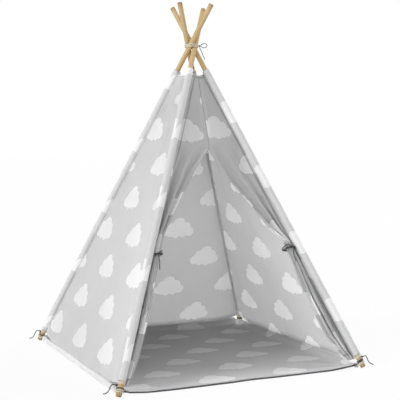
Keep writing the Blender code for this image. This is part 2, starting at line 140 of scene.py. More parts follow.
def even_route(points: Sequence[Vector], spacing: float) -> list[Vector]:
    """Points along a line at about the given spacing, both ends included."""
    total = route_length(points)
    count = max(2, round(total / spacing))
    route, index, passed = [], 0, 0.0
    for step in range(count):
        target = total * step / count
        stretch = (points[index + 1] - points[index]).length
        while passed + stretch < target:
            passed += stretch
            index += 1
            stretch = (points[index + 1] - points[index]).length
        share = (target - passed) / max(stretch, 1e-9)
        route.append(points[index].lerp(points[index + 1], share))
    route.append(points[-1])
    return route


def carried_frames(points: Sequence[Vector]) -> list[tuple[Vector, Vector]]:
    """Two directions square to a line at each of its points, carried along it without twist."""
    frames: list[tuple[Vector, Vector]] = []
    last = len(points) - 1
    side = None
    for index in range(len(points)):
        ahead = (points[min(index + 1, last)] - points[max(index - 1, 0)]).normalized()
        side = side or ahead.orthogonal().normalized()
        side = (side - ahead * side.dot(ahead)).normalized()
        frames.append((side, ahead.cross(side)))
    return frames


def add_object(name: str, data: ID) -> Object:
    """Puts a new object in the scene, at the origin."""
    made = bpy.data.objects.new(name, data)
    bpy.context.collection.objects.link(made)
    return made


UvRows = list[list[tuple[float, float]]]


@dataclass
class Surface:
    """A surface through rows of points, with UV layers in metres.

    A closed surface joins its last column to its first, and its layers have one column more than
    its points, for the join. Its ends may be capped.
    """

    rows: list[list[Vector]]
    layers: dict[str, UvRows] = field(default_factory=dict)
    closed: bool = False
    capped: bool = False

    def _corners(self) -> list[list[tuple[int, int]]]:
        """The row and column of each corner of each face."""
        columns = len(self.rows[0])
        across = columns if self.closed else columns - 1
        faces = [
            [(row, column), (row, column + 1), (row + 1, column + 1), (row + 1, column)]
            for row in range(len(self.rows) - 1)
            for column in range(across)
        ]
        if self.capped:
            faces.append([(0, column) for column in reversed(range(columns))])
            faces.append([(len(self.rows) - 1, column) for column in range(columns)])
        return faces

    def build(self, name: str, sharp_angle: float | None = None) -> Object:
        """Makes the surface an object.

        Args:
            name: The piece's name.
            sharp_angle: The angle above which an edge is shaded sharp, or None where all is smooth.

        Returns:
            The new object, at the origin.
        """
        columns = len(self.rows[0])
        corners = self._corners()
        mesh = bpy.data.meshes.new(name)
        mesh.from_pydata(
            [point for row in self.rows for point in row],
            [],
            [[row * columns + column % columns for row, column in face] for face in corners],
        )
        for layer_name, values in self.layers.items():
            layer = mesh.uv_layers.new(name=layer_name)
            uvs = [part for face in corners for row, column in face for part in values[row][column]]
            layer.uv.foreach_set("vector", uvs)
        mesh.shade_smooth()
        if sharp_angle is not None:
            mesh.set_sharp_from_angle(angle=sharp_angle)
        return add_object(name, mesh)


def dress(
    piece: Object, body: str, material: Material, node: str
) -> None:
    """Gives a piece its finish, sets it on its body in the place of a solid and reports it.

    Args:
        piece: The piece.
        body: The body that it rides on.
        material: Its finish.
        node: The solid that it replaces.
    """
    piece.data.materials.append(material)
    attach(piece, body)
    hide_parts(node)
    LOG.info("%s rides on %s", piece.name, body)


# Shader nodes

Feed = NodeSocket | float | tuple


class Wiring:
    """Adds nodes to one node tree and joins them."""

    def __init__(self, tree: NodeTree) -> None:
        """Starts on a node tree.

        Args:
            tree: The node tree of a material, a world or a group.
        """
        self.tree = tree

    def node(
        self, kind: str, feeds: dict[str | int, Feed] | None = None, **settings: object
    ) -> Node:
        """Adds a node.

        Args:
            kind: Blender's name for the node's type.
            feeds: What goes into its inputs, by name or number: a socket or a plain value.
            **settings: The node's own settings.

        Returns:
            The new node.
        """
        made = self.tree.nodes.new(kind)
        row, column = divmod(len(self.tree.nodes), NODES_IN_ROW)
        made.location = (NODE_SPACE[0] * column, -NODE_SPACE[1] * row)
        for name, value in settings.items():
            setattr(made, name, value)
        for name, value in (feeds or {}).items():
            self.feed(made.inputs[name], value)
        return made

    def feed(self, socket: NodeSocket, value: Feed) -> None:
        """Joins another node's output to an input, or sets the input's value."""
        if isinstance(value, NodeSocket):
            self.tree.links.new(value, socket)
        else:
            socket.default_value = value

    def math(self, operation: str, *values: Feed) -> NodeSocket:
        """The result of a Math node."""
        return self.node(
            "ShaderNodeMath", dict(enumerate(values)), operation=operation
        ).outputs[0]

    def vector(self, operation: str, *values: Feed) -> NodeSocket:
        """The vector that a Vector Math node gives."""
        return self.node(
            "ShaderNodeVectorMath", dict(enumerate(values)), operation=operation
        ).outputs["Vector"]

    def distance(self, first: Feed, second: Feed) -> NodeSocket:
        """How far two points lie apart."""
        return self.node(
            "ShaderNodeVectorMath", {0: first, 1: second}, operation="DISTANCE"
        ).outputs["Value"]

    def times(self, first: Feed, second: Feed) -> NodeSocket:
        """The product of two values."""
        return self.math("MULTIPLY", first, second)

    def varied(self, value: Feed, share: Feed, base: Feed) -> NodeSocket:
        """A base with a share of a value added."""
        return self.math("MULTIPLY_ADD", value, share, base)

    def inverse(self, value: Feed) -> NodeSocket:
        """1 less the value."""
        return self.math("SUBTRACT", 1.0, value)

    def scaled(self, colour: Feed, share: Feed) -> NodeSocket:
        """A colour made lighter or darker by a share."""
        made = self.vector("SCALE", colour)
        self.feed(made.node.inputs["Scale"], share)
        return made

    def step(self, value: Feed, low: Feed, high: Feed) -> NodeSocket:
        """Goes smoothly from 0 at low to 1 at high."""
        return self.node(
            "ShaderNodeMapRange",
            {"Value": value, "From Min": low, "From Max": high},
            interpolation_type="SMOOTHSTEP",
        ).outputs["Result"]

    def noise(
        self, place: Feed, scale: Feed, detail: float = 2.0, roughness: float = 0.5
    ) -> NodeSocket:
        """A noise from 0 to 1."""
        return self.node(
            "ShaderNodeTexNoise",
            {"Vector": place, "Scale": scale, "Detail": detail, "Roughness": roughness},
        ).outputs[0]

    def colour(
        self, amount: Feed, first: Feed, second: Feed, mode: str = "MIX"
    ) -> NodeSocket:
        """Two colours blended by an amount."""
        return self.node(
            "ShaderNodeMix",
            {0: amount, 6: first, 7: second},
            data_type="RGBA",
            blend_type=mode,
        ).outputs[2]

    def group(self, tree: NodeTree, **feeds: Feed) -> Node:
        """Places a node group. Each feed's name is an input's name, with _ for a space."""
        made = self.node("ShaderNodeGroup", node_tree=tree)
        for name, value in feeds.items():
            self.feed(made.inputs[name.replace("_", " ").title()], value)
        return made


class Group(Wiring):
    """A shader node group that is being made."""

    def __init__(self, name: str) -> None:
        """Makes an empty group.

        Args:
            name: The group's name.
        """
        super().__init__(bpy.data.node_groups.new(name, "ShaderNodeTree"))
        self.entry = self.tree.nodes.new("NodeGroupInput")
        self.exit = self.tree.nodes.new("NodeGroupOutput")

    def vector_input(self, name: str) -> NodeSocket:
        """Adds a vector input."""
        self.tree.interface.new_socket(name, in_out="INPUT", socket_type="NodeSocketVector")
        return self.entry.outputs[name]

    def value_input(self, name: str, default: float) -> NodeSocket:
        """Adds a number input."""
        made = self.tree.interface.new_socket(name, in_out="INPUT", socket_type="NodeSocketFloat")
        made.default_value = default
        return self.entry.outputs[name]

    def output(self, name: str, value: NodeSocket) -> None:
        """Adds a number output that gives a value."""
        self.tree.interface.new_socket(name, in_out="OUTPUT", socket_type="NodeSocketFloat")
        self.feed(self.exit.inputs[name], value)


@dataclass(frozen=True)
class CloudPrint:
    """The printed cloud: round puffs that run together, in rows that are set off by half a step.

    Each puff is (across, up, radius) from the cloud's middle.
    """

    puffs: tuple[tuple[float, float, float], ...] = (
        (-0.057, -0.021, 0.024),
        (-0.032, 0.003, 0.029),
        (0.004, 0.021, 0.034),
        (0.037, 0.002, 0.027),
        (0.059, -0.022, 0.022),
        (-0.025, -0.027, 0.025),
        (0.012, -0.029, 0.026),
        (0.038, -0.027, 0.022),
    )
    period: float = 0.340
    row_pair: float = 0.326
    softness: float = 0.0006
    ragged: float = 0.0016
    ragged_scale: float = 260.0

    def _shape(self) -> NodeTree:
        """A group that says how deep inside one cloud a point lies."""
        group = Group("cloud_shape")
        place = group.vector_input("Place")
        depth = None
        for across, up, radius in self.puffs:
            reach = group.math("SUBTRACT", radius, group.distance(place, (across, up, 0.0)))
            depth = reach if depth is None else group.math("MAXIMUM", depth, reach)
        group.output("Depth", depth)
        return group.tree

    def build(self) -> NodeTree:
        """Returns the group that gives the printed mask at a place on the cloth, in metres."""
        group = Group("cloud_print")
        place = group.vector_input("Place")
        wobble = group.node(
            "ShaderNodeTexNoise", {"Vector": place, "Scale": self.ragged_scale, "Detail": 2.0}
        ).outputs["Color"]
        wobble = group.vector("MULTIPLY_ADD", wobble, (self.ragged,) * 3, place)
        half = (self.period / 2, self.row_pair / 2, 1.0)
        low = (-half[0], -half[1], -half[2])
        shape = self._shape()
        depths = []
        for shift, flip in (((0.0, 0.0, 0.0), 1.0), ((half[0], half[1], 0.0), -1.0)):
            moved = group.vector("ADD", wobble, shift)
            cell = group.vector("WRAP", moved, half, low)
            cell = group.vector("MULTIPLY", cell, (flip, 1.0, 0.0))
            depths.append(group.group(shape, place=cell).outputs["Depth"])
        depth = group.math("MAXIMUM", *depths)
        group.output("Mask", group.step(depth, -self.softness, self.softness))
        return group.tree


def build_weave() -> NodeTree:
    """Returns the group for plain-woven threads: their height and their uneven thickness."""
    group = Group("plain_weave")
    place = group.vector_input("Place")
    pitch = group.value_input("Pitch", 0.0009)
    split = group.node("ShaderNodeSeparateXYZ", {0: place})
    turns = [
        group.math("SINE", group.times(math.pi, group.math("DIVIDE", axis, pitch)))
        for axis in (split.outputs[0], split.outputs[1])
    ]
    bumps = group.varied(group.times(*turns), 0.5, 0.5)
    slubs = [
        group.noise(group.vector("MULTIPLY", place, stretch), 1.0, 3.0, 0.6)
        for stretch in ((22.0, 900.0, 1.0), (900.0, 22.0, 1.0))
    ]
    group.output("Height", bumps)
    group.output("Slub", group.varied(group.math("ADD", *slubs), 0.5, 0.0))
    return group.tree


def build_tone() -> NodeTree:
    """Returns the group for soft, uneven tone about 0: broad clouds of wear and fine specks."""
    group = Group("uneven_tone")
    place = group.vector_input("Place")
    broad = group.noise(place, group.value_input("Broad Scale", 5.0), 4.0, 0.6)
    fine = group.noise(place, group.value_input("Fine Scale", 90.0), 4.0, 0.65)
    blend = group.varied(fine, 0.4, group.times(broad, 0.6))
    group.output("Tone", group.math("SUBTRACT", blend, 0.5))
    return group.tree


def build_stitches() -> NodeTree:
    """Returns the group for a row of stitches: its thread and the dent it draws in the cloth."""
    group = Group("stitch_row")
    place = group.vector_input("Place")
    offset = group.value_input("Offset", 0.003)
    length = group.value_input("Stitch Length", 0.0032)
    width = group.value_input("Width", 0.0005)
    split = group.node("ShaderNodeSeparateXYZ", {0: place})
    away = group.math("ABSOLUTE", group.math("SUBTRACT", split.outputs[0], offset))
    near = group.inverse(group.step(away, group.times(width, 0.6), width))
    turn = group.math("FRACT", group.math("DIVIDE", split.outputs[1], length))
    along = group.math("ABSOLUTE", group.math("SUBTRACT", turn, 0.5))
    thread = group.inverse(group.step(along, 0.34, 0.42))
    dent = group.inverse(group.step(away, 0.0, group.times(width, 5.0)))
    group.output("Thread", group.times(near, thread))
    group.output("Dent", dent)
    return group.tree


def build_grain() -> NodeTree:
    """Returns the group for pine: growth rings round the log's heart, fibres along it and knots."""
    group = Group("pine_grain")
    place = group.vector_input("Place")
    ring = group.value_input("Ring Width", 0.0030)
    bend = group.node(
        "ShaderNodeTexNoise",
        {"Vector": group.vector("MULTIPLY", place, (18.0, 18.0, 1.6)), "Scale": 1.0, "Detail": 3.0},
    ).outputs["Color"]
    bent = group.vector("MULTIPLY_ADD", bend, (0.012, 0.012, 0.0), place)
    flat = group.vector("MULTIPLY", bent, (1.0, 1.0, 0.0))
    turns = group.math("DIVIDE", group.distance(flat, (0.0, 0.0, 0.0)), ring)
    share = group.math("FRACT", turns)
    fall = group.inverse(group.step(share, 0.93, 1.0))
    late = group.times(group.step(share, 0.30, 0.90), fall)
    fibre = group.noise(group.vector("MULTIPLY", place, (1500.0, 1500.0, 26.0)), 1.0, 3.0, 0.6)
    cells = group.node(
        "ShaderNodeTexVoronoi",
        {"Vector": group.vector("MULTIPLY", place, (9.0, 9.0, 5.5)), "Scale": 1.0},
    ).outputs["Distance"]
    group.output("Late Wood", late)
    group.output("Fibre", fibre)
    group.output("Knot", group.inverse(group.step(cells, 0.02, 0.075)))
    return group.tree


def build_fibres() -> NodeTree:
    """Returns the group for a cord's fibres, which run at a slant along each strand."""
    group = Group("cord_fibres")
    place = group.vector_input("Place")
    slant = group.value_input("Slant", 60.0)
    split = group.node("ShaderNodeSeparateXYZ", {0: place})
    along = split.outputs[1]
    around = group.math("ADD", split.outputs[0], group.times(along, slant))
    thread = group.node(
        "ShaderNodeCombineXYZ",
        {0: group.times(around, 42.0), 1: group.times(along, 60.0)},
    ).outputs[0]
    group.output("Fibre", group.noise(thread, 1.0, 3.0, 0.6))
    broad = group.node("ShaderNodeCombineXYZ", {0: group.times(along, 40.0)}).outputs[0]
    group.output("Soil", group.noise(broad, 1.0, 2.0, 0.5))
    return group.tree


@dataclass
class Groups:
    """The node groups that the finishes share."""

    clouds: NodeTree
    weave: NodeTree
    tone: NodeTree
    stitches: NodeTree
    grain: NodeTree
    fibres: NodeTree

    @classmethod
    def build(cls) -> Groups:
        """Makes each group once."""
        return cls(
            CloudPrint().build(),
            build_weave(),
            build_tone(),
            build_stitches(),
            build_grain(),
            build_fibres(),
        )


Colour = tuple[float, float, float]


def full(colour: Colour) -> tuple[float, float, float, float]:
    """A colour with its alpha."""
    return (*colour, 1.0)


class Finish(Wiring):
    """One material that is being made around its Principled BSDF."""

    def __init__(self, name: str) -> None:
        """Makes a plain material.

        Args:
            name: The material's name.
        """
        self.material = bpy.data.materials.new(name)
        self.material.use_nodes = True
        super().__init__(self.material.node_tree)
        self.shader = self.tree.nodes["Principled BSDF"]

    def uv(self, layer: str) -> NodeSocket:
        """The place that a UV layer gives, in metres."""
        return self.node("ShaderNodeUVMap", uv_map=layer).outputs[0]

    def give(self, name: str, value: Feed) -> None:
        """Sets one of the shader's inputs, or joins what varies over the surface to it."""
        self.feed(self.shader.inputs[name], value)

    def bump(self, height: Feed, depth: float) -> None:
        """Raises the surface by a height from 0 to 1 times a depth in metres."""
        bumped = self.node("ShaderNodeBump", {"Height": height, "Strength": 1.0, "Distance": depth})
        self.give("Normal", bumped.outputs[0])


@dataclass(frozen=True)
class CottonFinish:
    """Plain-woven cotton with a cloud print, stitched at its seams and hems."""

    name: str = "canopy_cotton"
    ground: Colour = (0.50, 0.50, 0.505)
    cloud: Colour = (0.93, 0.93, 0.93)
    thread: Colour = (0.66, 0.66, 0.66)
    shadow: Colour = (0.28, 0.28, 0.29)
    shadow_share: float = 0.30
    stitch_width: float = 0.0005
    seam_offset: float = 0.004
    hem_offset: float = 0.022
    sheen: float = 0.05
    glow: float = 1.0
    glow_reach: float = 0.009
    roughness: float = 0.88
    specular: float = 0.10
    tone_share: float = 0.14
    slub_share: float = 0.10
    # Painted light: a pale strip on the sleeve's inner side, between its two seams, where the pole
    # leaves it in shade.
    painted_light_band: Colour | None = None
    painted_light_edge: tuple[float, float] = (0.0006, 0.0010)
    relief: float = 0.00025
    dent_depth: float = 1.4

    def build(self, groups: Groups) -> Material:
        """Returns the material, made with the shared groups."""
        finish = Finish(self.name)
        place = finish.uv("print")
        mask = finish.group(groups.clouds, place=place).outputs["Mask"]
        weave = finish.group(groups.weave, place=place)
        tone = finish.group(groups.tone, place=place).outputs["Tone"]
        printed = finish.colour(mask, full(self.ground), full(self.cloud))
        # Painted light: the strip between the sleeve's inner seams is painted pale, lightening the
        # shade that the pole behind it gives.
        if self.painted_light_band:
            from_seam = finish.node("ShaderNodeSeparateXYZ", {0: finish.uv("seam")}).outputs[0]
            lit_band = finish.inverse(finish.step(from_seam, *self.painted_light_edge))
            printed = finish.colour(lit_band, printed, full(self.painted_light_band))
        shade = finish.varied(tone, self.tone_share, 1.0)
        slub = finish.math("SUBTRACT", weave.outputs["Slub"], 0.5)
        toned = finish.scaled(printed, finish.varied(slub, self.slub_share, shade))
        rows = [
            finish.group(
                groups.stitches, place=finish.uv(layer), offset=offset, width=self.stitch_width
            )
            for layer, offset in (("seam", self.seam_offset), ("hem", self.hem_offset))
        ]
        thread = finish.math("MAXIMUM", *(row.outputs["Thread"] for row in rows))
        dent = finish.math("MAXIMUM", *(row.outputs["Dent"] for row in rows))
        # Painted shade: the dent beside each row of stitches is darkened towards the shadow colour.
        depth = finish.times(dent, self.shadow_share)
        drawn = finish.colour(depth, toned, full(self.shadow))
        finish.give("Base Color", finish.colour(thread, drawn, full(self.thread)))
        finish.give("Roughness", finish.varied(tone, 0.2, self.roughness))
        finish.give("Sheen Weight", self.sheen)
        finish.give("Specular IOR Level", self.specular)
        finish.give("Subsurface Weight", self.glow)
        finish.give("Subsurface Radius", (1.0, 1.0, 1.0))
        finish.give("Subsurface Scale", self.glow_reach)
        height = finish.varied(weave.outputs["Height"], 0.5, thread)
        dip = finish.times(dent, self.dent_depth)
        finish.bump(finish.math("SUBTRACT", height, dip), self.relief)
        return finish.material


@dataclass(frozen=True)
class TapeFinish:
    """Cotton tape, folded over an edge and stitched down."""

    name: str
    colour: Colour
    thread: Colour
    stitch_offset: float = 0.008
    pitch: float = 0.0007
    sheen: float = 0.2
    relief: float = 0.0003

    def build(self, groups: Groups) -> Material:
        """Returns the material, made with the shared groups."""
        finish = Finish(self.name)
        place = finish.uv("tape")
        weave = finish.group(groups.weave, place=place, pitch=self.pitch)
        tone = finish.group(groups.tone, place=place, broad_scale=14.0).outputs["Tone"]
        shade = finish.varied(tone, 0.6, 0.85)
        threads = finish.times(weave.outputs["Height"], 0.3)
        base = finish.scaled(self.colour, finish.math("ADD", shade, threads))
        row = finish.group(groups.stitches, place=place, offset=self.stitch_offset)
        finish.give("Base Color", finish.colour(row.outputs["Thread"], base, full(self.thread)))
        finish.give("Roughness", finish.varied(tone, 0.2, 0.85))
        finish.give("Sheen Weight", self.sheen)
        height = finish.math("SUBTRACT", weave.outputs["Height"], row.outputs["Dent"])
        finish.bump(height, self.relief)
        return finish.material


@dataclass(frozen=True)
class PineFinish:
    """Bare sanded pine, darker where its end grain shows, where hands rub it, and at the foot, from
    dirt and painted shade.
    """

    name: str = "pine_wood"
    early: Colour = (0.56, 0.42, 0.225)
    late: Colour = (0.40, 0.262, 0.112)
    knot: Colour = (0.22, 0.12, 0.05)
    worn_and_shaded: Colour = (0.23, 0.150, 0.070)
    late_share: float = 0.50
    knot_share: float = 0.8
    worn_and_shaded_share: float = 0.75
    specular: float = 0.12
    relief: float = 0.00012

    def build(self, groups: Groups) -> Material:
        """Returns the material, made with the shared groups."""
        finish = Finish(self.name)
        place = finish.node("ShaderNodeAttribute", attribute_name="log_place").outputs["Vector"]
        grain = finish.group(groups.grain, place=place)
        tone = finish.group(groups.tone, place=place, broad_scale=7.0).outputs["Tone"]
        late = finish.times(grain.outputs["Late Wood"], self.late_share)
        wood = finish.colour(late, full(self.early), full(self.late))
        knots = finish.times(grain.outputs["Knot"], self.knot_share)
        wood = finish.colour(knots, wood, full(self.knot))
        # Partly painted shade: this mask darkens the pole's foot for dirt and for the shade near
        # the floor.
        wear_and_shade = finish.node("ShaderNodeAttribute", attribute_name="wear_and_shade").outputs["Fac"]
        patchy = finish.times(wear_and_shade, finish.varied(tone, 1.2, 1.0))
        worn_and_shaded = finish.times(patchy, self.worn_and_shaded_share)
        wood = finish.colour(worn_and_shaded, wood, full(self.worn_and_shaded))
        fibre = finish.math("SUBTRACT", grain.outputs["Fibre"], 0.5)
        shade = finish.varied(tone, 0.45, 1.0)
        shade = finish.varied(fibre, 0.18, shade)
        finish.give("Base Color", finish.scaled(wood, shade))
        finish.give("Roughness", finish.varied(fibre, 0.3, 0.52))
        finish.give("Specular IOR Level", self.specular)
        rings, fibres = grain.outputs["Late Wood"], grain.outputs["Fibre"]
        finish.bump(finish.varied(rings, 0.5, fibres), self.relief)
        return finish.material


@dataclass(frozen=True)
class CordFinish:
    """Cotton cord."""

    name: str
    light: Colour
    dark: Colour
    fleck: Colour
    fleck_share: float
    sheen: float = 0.3
    relief: float = 0.0004

    def build(self, groups: Groups) -> Material:
        """Returns the material, made with the shared groups."""
        finish = Finish(self.name)
        fibres = finish.group(groups.fibres, place=finish.uv("lay"))
        fibre, soil = fibres.outputs["Fibre"], fibres.outputs["Soil"]
        base = finish.colour(finish.step(fibre, 0.3, 0.75), full(self.dark), full(self.light))
        flecks = finish.times(finish.step(soil, 0.62, 0.68), self.fleck_share)
        finish.give("Base Color", finish.colour(flecks, base, full(self.fleck)))
        finish.give("Roughness", finish.varied(fibre, 0.2, 0.75))
        finish.give("Sheen Weight", self.sheen)
        finish.bump(fibre, self.relief)
        return finish.material


@dataclass(frozen=True)
class SteelFinish:
    """Plain drawn steel tube."""

    name: str = "ferrule_metal"
    colour: Colour = (0.60, 0.60, 0.61)
    relief: float = 0.00005

    def build(self, groups: Groups) -> Material:
        """Returns the material, made with the shared groups."""
        finish = Finish(self.name)
        place = finish.node("ShaderNodeTexCoord").outputs["Object"]
        drawn = finish.noise(finish.vector("MULTIPLY", place, (900.0, 900.0, 14.0)), 1.0, 3.0)
        tone = finish.group(groups.tone, place=place, broad_scale=30.0).outputs["Tone"]
        shade = finish.varied(tone, 0.4, 1.0)
        finish.give("Base Color", finish.scaled(self.colour, shade))
        finish.give("Roughness", finish.varied(drawn, 0.3, 0.25))
        finish.give("Metallic", 1.0)
        finish.bump(drawn, self.relief)
        return finish.material


@dataclass
class Materials:
    """The finished materials."""

    canopy: Material
    door: Material
    sleeve: Material
    mat: Material
    charcoal: Material
    grey: Material
    pine: Material
    pale: Material
    soiled: Material
    dark: Material
    steel: Material

    @classmethod
    def build(cls) -> Materials:
        """Makes each material once, from the shared groups."""
        groups = Groups.build()
        finishes = (
            CottonFinish(),
            # Painted shade: the door's ground is a little darker than the walls' cotton. The dent
            # beside its stitches is near black, partly the dark seam itself and partly a painted
            # shadow line along its seams, hems and free edge.
            CottonFinish(
                "door_cotton",
                ground=(0.48, 0.48, 0.485),
                shadow=(0.07, 0.07, 0.075),
                shadow_share=0.9,
                stitch_width=0.0011,
            ),
            CottonFinish(
                "sleeve_cotton",
                ground=(0.60, 0.60, 0.605),
                cloud=(0.79, 0.79, 0.79),
                shadow_share=0.12,
                glow=0.15,
                glow_reach=0.003,
                # Painted light: a pale strip on the sleeve's shaded inner side.
                painted_light_band=(0.88, 0.88, 0.88),
            ),
            CottonFinish(
                "mat_cotton", ground=(0.70, 0.70, 0.705), relief=0.0004, glow=0.3, glow_reach=0.003
            ),
            TapeFinish("dark_binding", (0.035, 0.035, 0.04), (0.16, 0.16, 0.17)),
            TapeFinish("grey_binding", (0.74, 0.74, 0.74), (0.88, 0.88, 0.88)),
            PineFinish(),
            CordFinish(
                "pale_cord", (0.80, 0.75, 0.62), (0.55, 0.48, 0.35), (0.42, 0.36, 0.27), 0.35
            ),
            # Painted shade: the lashing's knot, loop and end are the same cord as its pale winding,
            # painted grey.
            CordFinish(
                "soiled_cord", (0.30, 0.30, 0.29), (0.14, 0.14, 0.13), (0.50, 0.48, 0.44), 0.30
            ),
            CordFinish(
                "dark_cord", (0.060, 0.060, 0.065), (0.014, 0.014, 0.016), (0.66, 0.66, 0.64), 0.75
            ),
            SteelFinish(),
        )
        return cls(*(finish.build(groups) for finish in finishes))


# The standing frame


@dataclass(frozen=True)
class Stance:
    """The driving sizes of the frame, in metres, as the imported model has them."""

    pole_diameter: float = 0.022
    section_length: float = 0.600
    end_round: float = 0.0015
    fit: float = 0.0003
    foot_spacing: float = 1.114
    crossing_height: float = 1.394
    crossing_gap: float = 0.0006
    closed_angle: float = math.radians(22.0)

    @property
    def pole_radius(self) -> float:
        """Half the pole's diameter."""
        return self.pole_diameter / 2

    @property
    def foot_radius(self) -> float:
        """How far a foot stands from the middle of the floor."""
        return self.foot_spacing / math.sqrt(2)

    @property
    def lean(self) -> float:
        """A pole's angle to the vertical."""
        return math.atan2(self.foot_radius, self.crossing_height)

    @property
    def crossing_offset(self) -> float:
        """How far beside the middle each pole passes at the crossing."""
        flat = math.cos(self.lean)
        return (self.pole_diameter + self.crossing_gap) * math.sqrt(1 + flat**2) / (2 * flat)

    @property
    def foot_to_crossing(self) -> float:
        """The length of pole below the crossing."""
        run = math.sqrt(self.foot_radius**2 - self.crossing_offset**2)
        return math.hypot(run, self.crossing_height)

    @property
    def pole_start(self) -> float:
        """How far up the pole's line its square-cut end lies, for its rim to touch the floor."""
        return (self.pole_radius - self.end_round) * math.tan(self.lean)


class Pole:
    """Where one pole stands.

    Its own frame has its origin at the crossing, X along the axis that the pole folds about, Y
    square to the pole towards the inside, and Z up the pole.
    """

    def __init__(
        self, stance: Stance, name: str, x_sign: int, y_sign: int, tie_heading: float
    ) -> None:
        """Works out the pole's place and directions.

        Args:
            stance: The sizes of the standing frame.
            name: The corner's name.
            x_sign: The side of the middle that the foot stands on, along X.
            y_sign: The same along Y.
            tie_heading: The direction that the knot at the foot faces, from +X.
        """
        self.name = name
        self.stance = stance
        self.body = "pole_" + name
        self.joint = "fold_" + name
        self.foot = Vector((x_sign, y_sign, 0.0)) * stance.foot_spacing / 2
        turn = math.atan2(self.foot.y, self.foot.x) + math.pi / 2
        turn -= math.asin(stance.crossing_offset / stance.foot_radius)
        self.crossing = level(turn) * stance.crossing_offset
        self.crossing.z = stance.crossing_height
        self.up = (self.crossing - self.foot).normalized()
        self.towards = Vector((self.up.x, self.up.y, 0.0)).normalized()
        self.across = self.towards.cross(UP)
        self.inward = self.up.cross(self.across)
        axes = Matrix((self.across, self.inward, self.up)).transposed()
        self.matrix = Matrix.Translation(self.crossing) @ axes.to_4x4()
        heading = level(tie_heading)
        self.tie_angle = math.atan2(heading.dot(self.inward), heading.dot(self.across))

    def at(self, across: float, inward: float, along: float) -> Vector:
        """A point beside the pole, along being the way up from the floor."""
        return self.matrix @ Vector((across, inward, along - self.stance.foot_to_crossing))

    def around(self, radius: float, angle: float, along: float) -> Vector:
        """A point round the pole, its angle being from the fold axis towards the inside."""
        return self.at(radius * math.cos(angle), radius * math.sin(angle), along)


# Cords


class Lay(Enum):
    """How a cord's strands lie."""

    TWISTED = "twisted"
    BRAIDED = "braided"


@dataclass(frozen=True)
class CordKind:
    """A kind of cord, and how it is drawn as a tube with its strands in relief."""

    diameter: float
    lay: Lay
    strands: int
    turn_length: float
    relief_share: float
    sides: int
    ring_spacing: float
    slot: str
    lobe_power: float = 0.8
    blunt_end: float = 0.3

    def radius(self, angle: float, along: float) -> float:
        """The distance from the cord's line to its skin."""
        turn = 2 * math.pi * along / self.turn_length
        half = self.strands / 2
        lobe = abs(math.cos(half * (angle - turn)))
        if self.lay is Lay.BRAIDED:
            lobe = max(lobe, abs(math.cos(half * (angle + turn))))
        return self.diameter / 2 * (1 - self.relief_share * (1 - lobe**self.lobe_power))

    def tube(self, name: str, points: Sequence[Vector], thin_share: float = 1.0) -> Object:
        """A cord along a line.

        Args:
            name: The piece's name.
            points: The line.
            thin_share: The share of its thickness that it is drawn tight to.

        Returns:
            The cord as a mesh with rounded ends.
        """
        route = even_route(points, self.ring_spacing)
        total = route_length(route)
        rows, lay = [], []
        for index, (centre, (side, other)) in enumerate(zip(route, carried_frames(route))):
            along = total * index / (len(route) - 1)
            from_end = max(min(along, total - along), 0.0) / (self.diameter / 2)
            plump = math.sqrt(1 - (1 - min(from_end, 1.0)) ** 2)
            ring = []
            for step in range(self.sides):
                angle = 2 * math.pi * step / self.sides
                reach = self.radius(angle, along) * max(plump, self.blunt_end) * thin_share
                ring.append(
                    centre + side * (reach * math.cos(angle)) + other * (reach * math.sin(angle))
                )
            rows.append(ring)
            lay.append([(step / self.sides, along) for step in range(self.sides + 1)])
        return Surface(rows, {"lay": lay}, closed=True, capped=True).build(name)


@dataclass(frozen=True)
class Knot:
    """A small knot, drawn as the wraps of its own cord round an axis, crossed by one strand."""

    diameter: float = 0.009
    length: float = 0.011
    wraps: float = 2.6
    cord_share: float = 0.84
    turn_points: int = 24
    tuck_share: float = 0.10
    tucked_reach: float = 0.35

    @property
    def radius(self) -> float:
        """Half the knot's diameter."""
        return self.diameter / 2

    def seat(self, kind: CordKind, spacing: float, fit: float) -> float:
        """How far the knot's middle lies from the plane of two cords that it rests on."""
        return math.sqrt((self.radius + fit + kind.diameter / 2) ** 2 - (spacing / 2) ** 2)

    def build(
        self, name: str, kind: CordKind, centre: Vector, axis: Vector, front: Vector
    ) -> Object:
        """Ties the knot.

        Args:
            name: The piece's name.
            kind: The cord that it is tied in.
            centre: The knot's middle.
            axis: The direction that its wraps go round.
            front: The side that the crossing strand lies on.

        Returns:
            The knot as one tube.
        """
        thick = kind.diameter * self.cord_share
        reach = self.radius - thick / 2
        across = (front - axis * front.dot(axis)).normalized()
        other = axis.cross(across)
        half = self.length / 2 - thick / 2
        steps = round(self.turn_points * self.wraps)
        line = []
        for step in range(steps + 1):
            share = step / steps
            turn = 2 * math.pi * self.wraps * (share - 0.5)
            tuck = smooth_step(min(share, 1 - share), 0.0, self.tuck_share)
            arm = reach * (self.tucked_reach + (1 - self.tucked_reach) * tuck)
            line.append(
                centre
                + axis * (half * (2 * share - 1))
                + across * (arm * math.cos(turn))
                + other * (arm * math.sin(turn))
            )
        return kind.tube(name, line, self.cord_share)


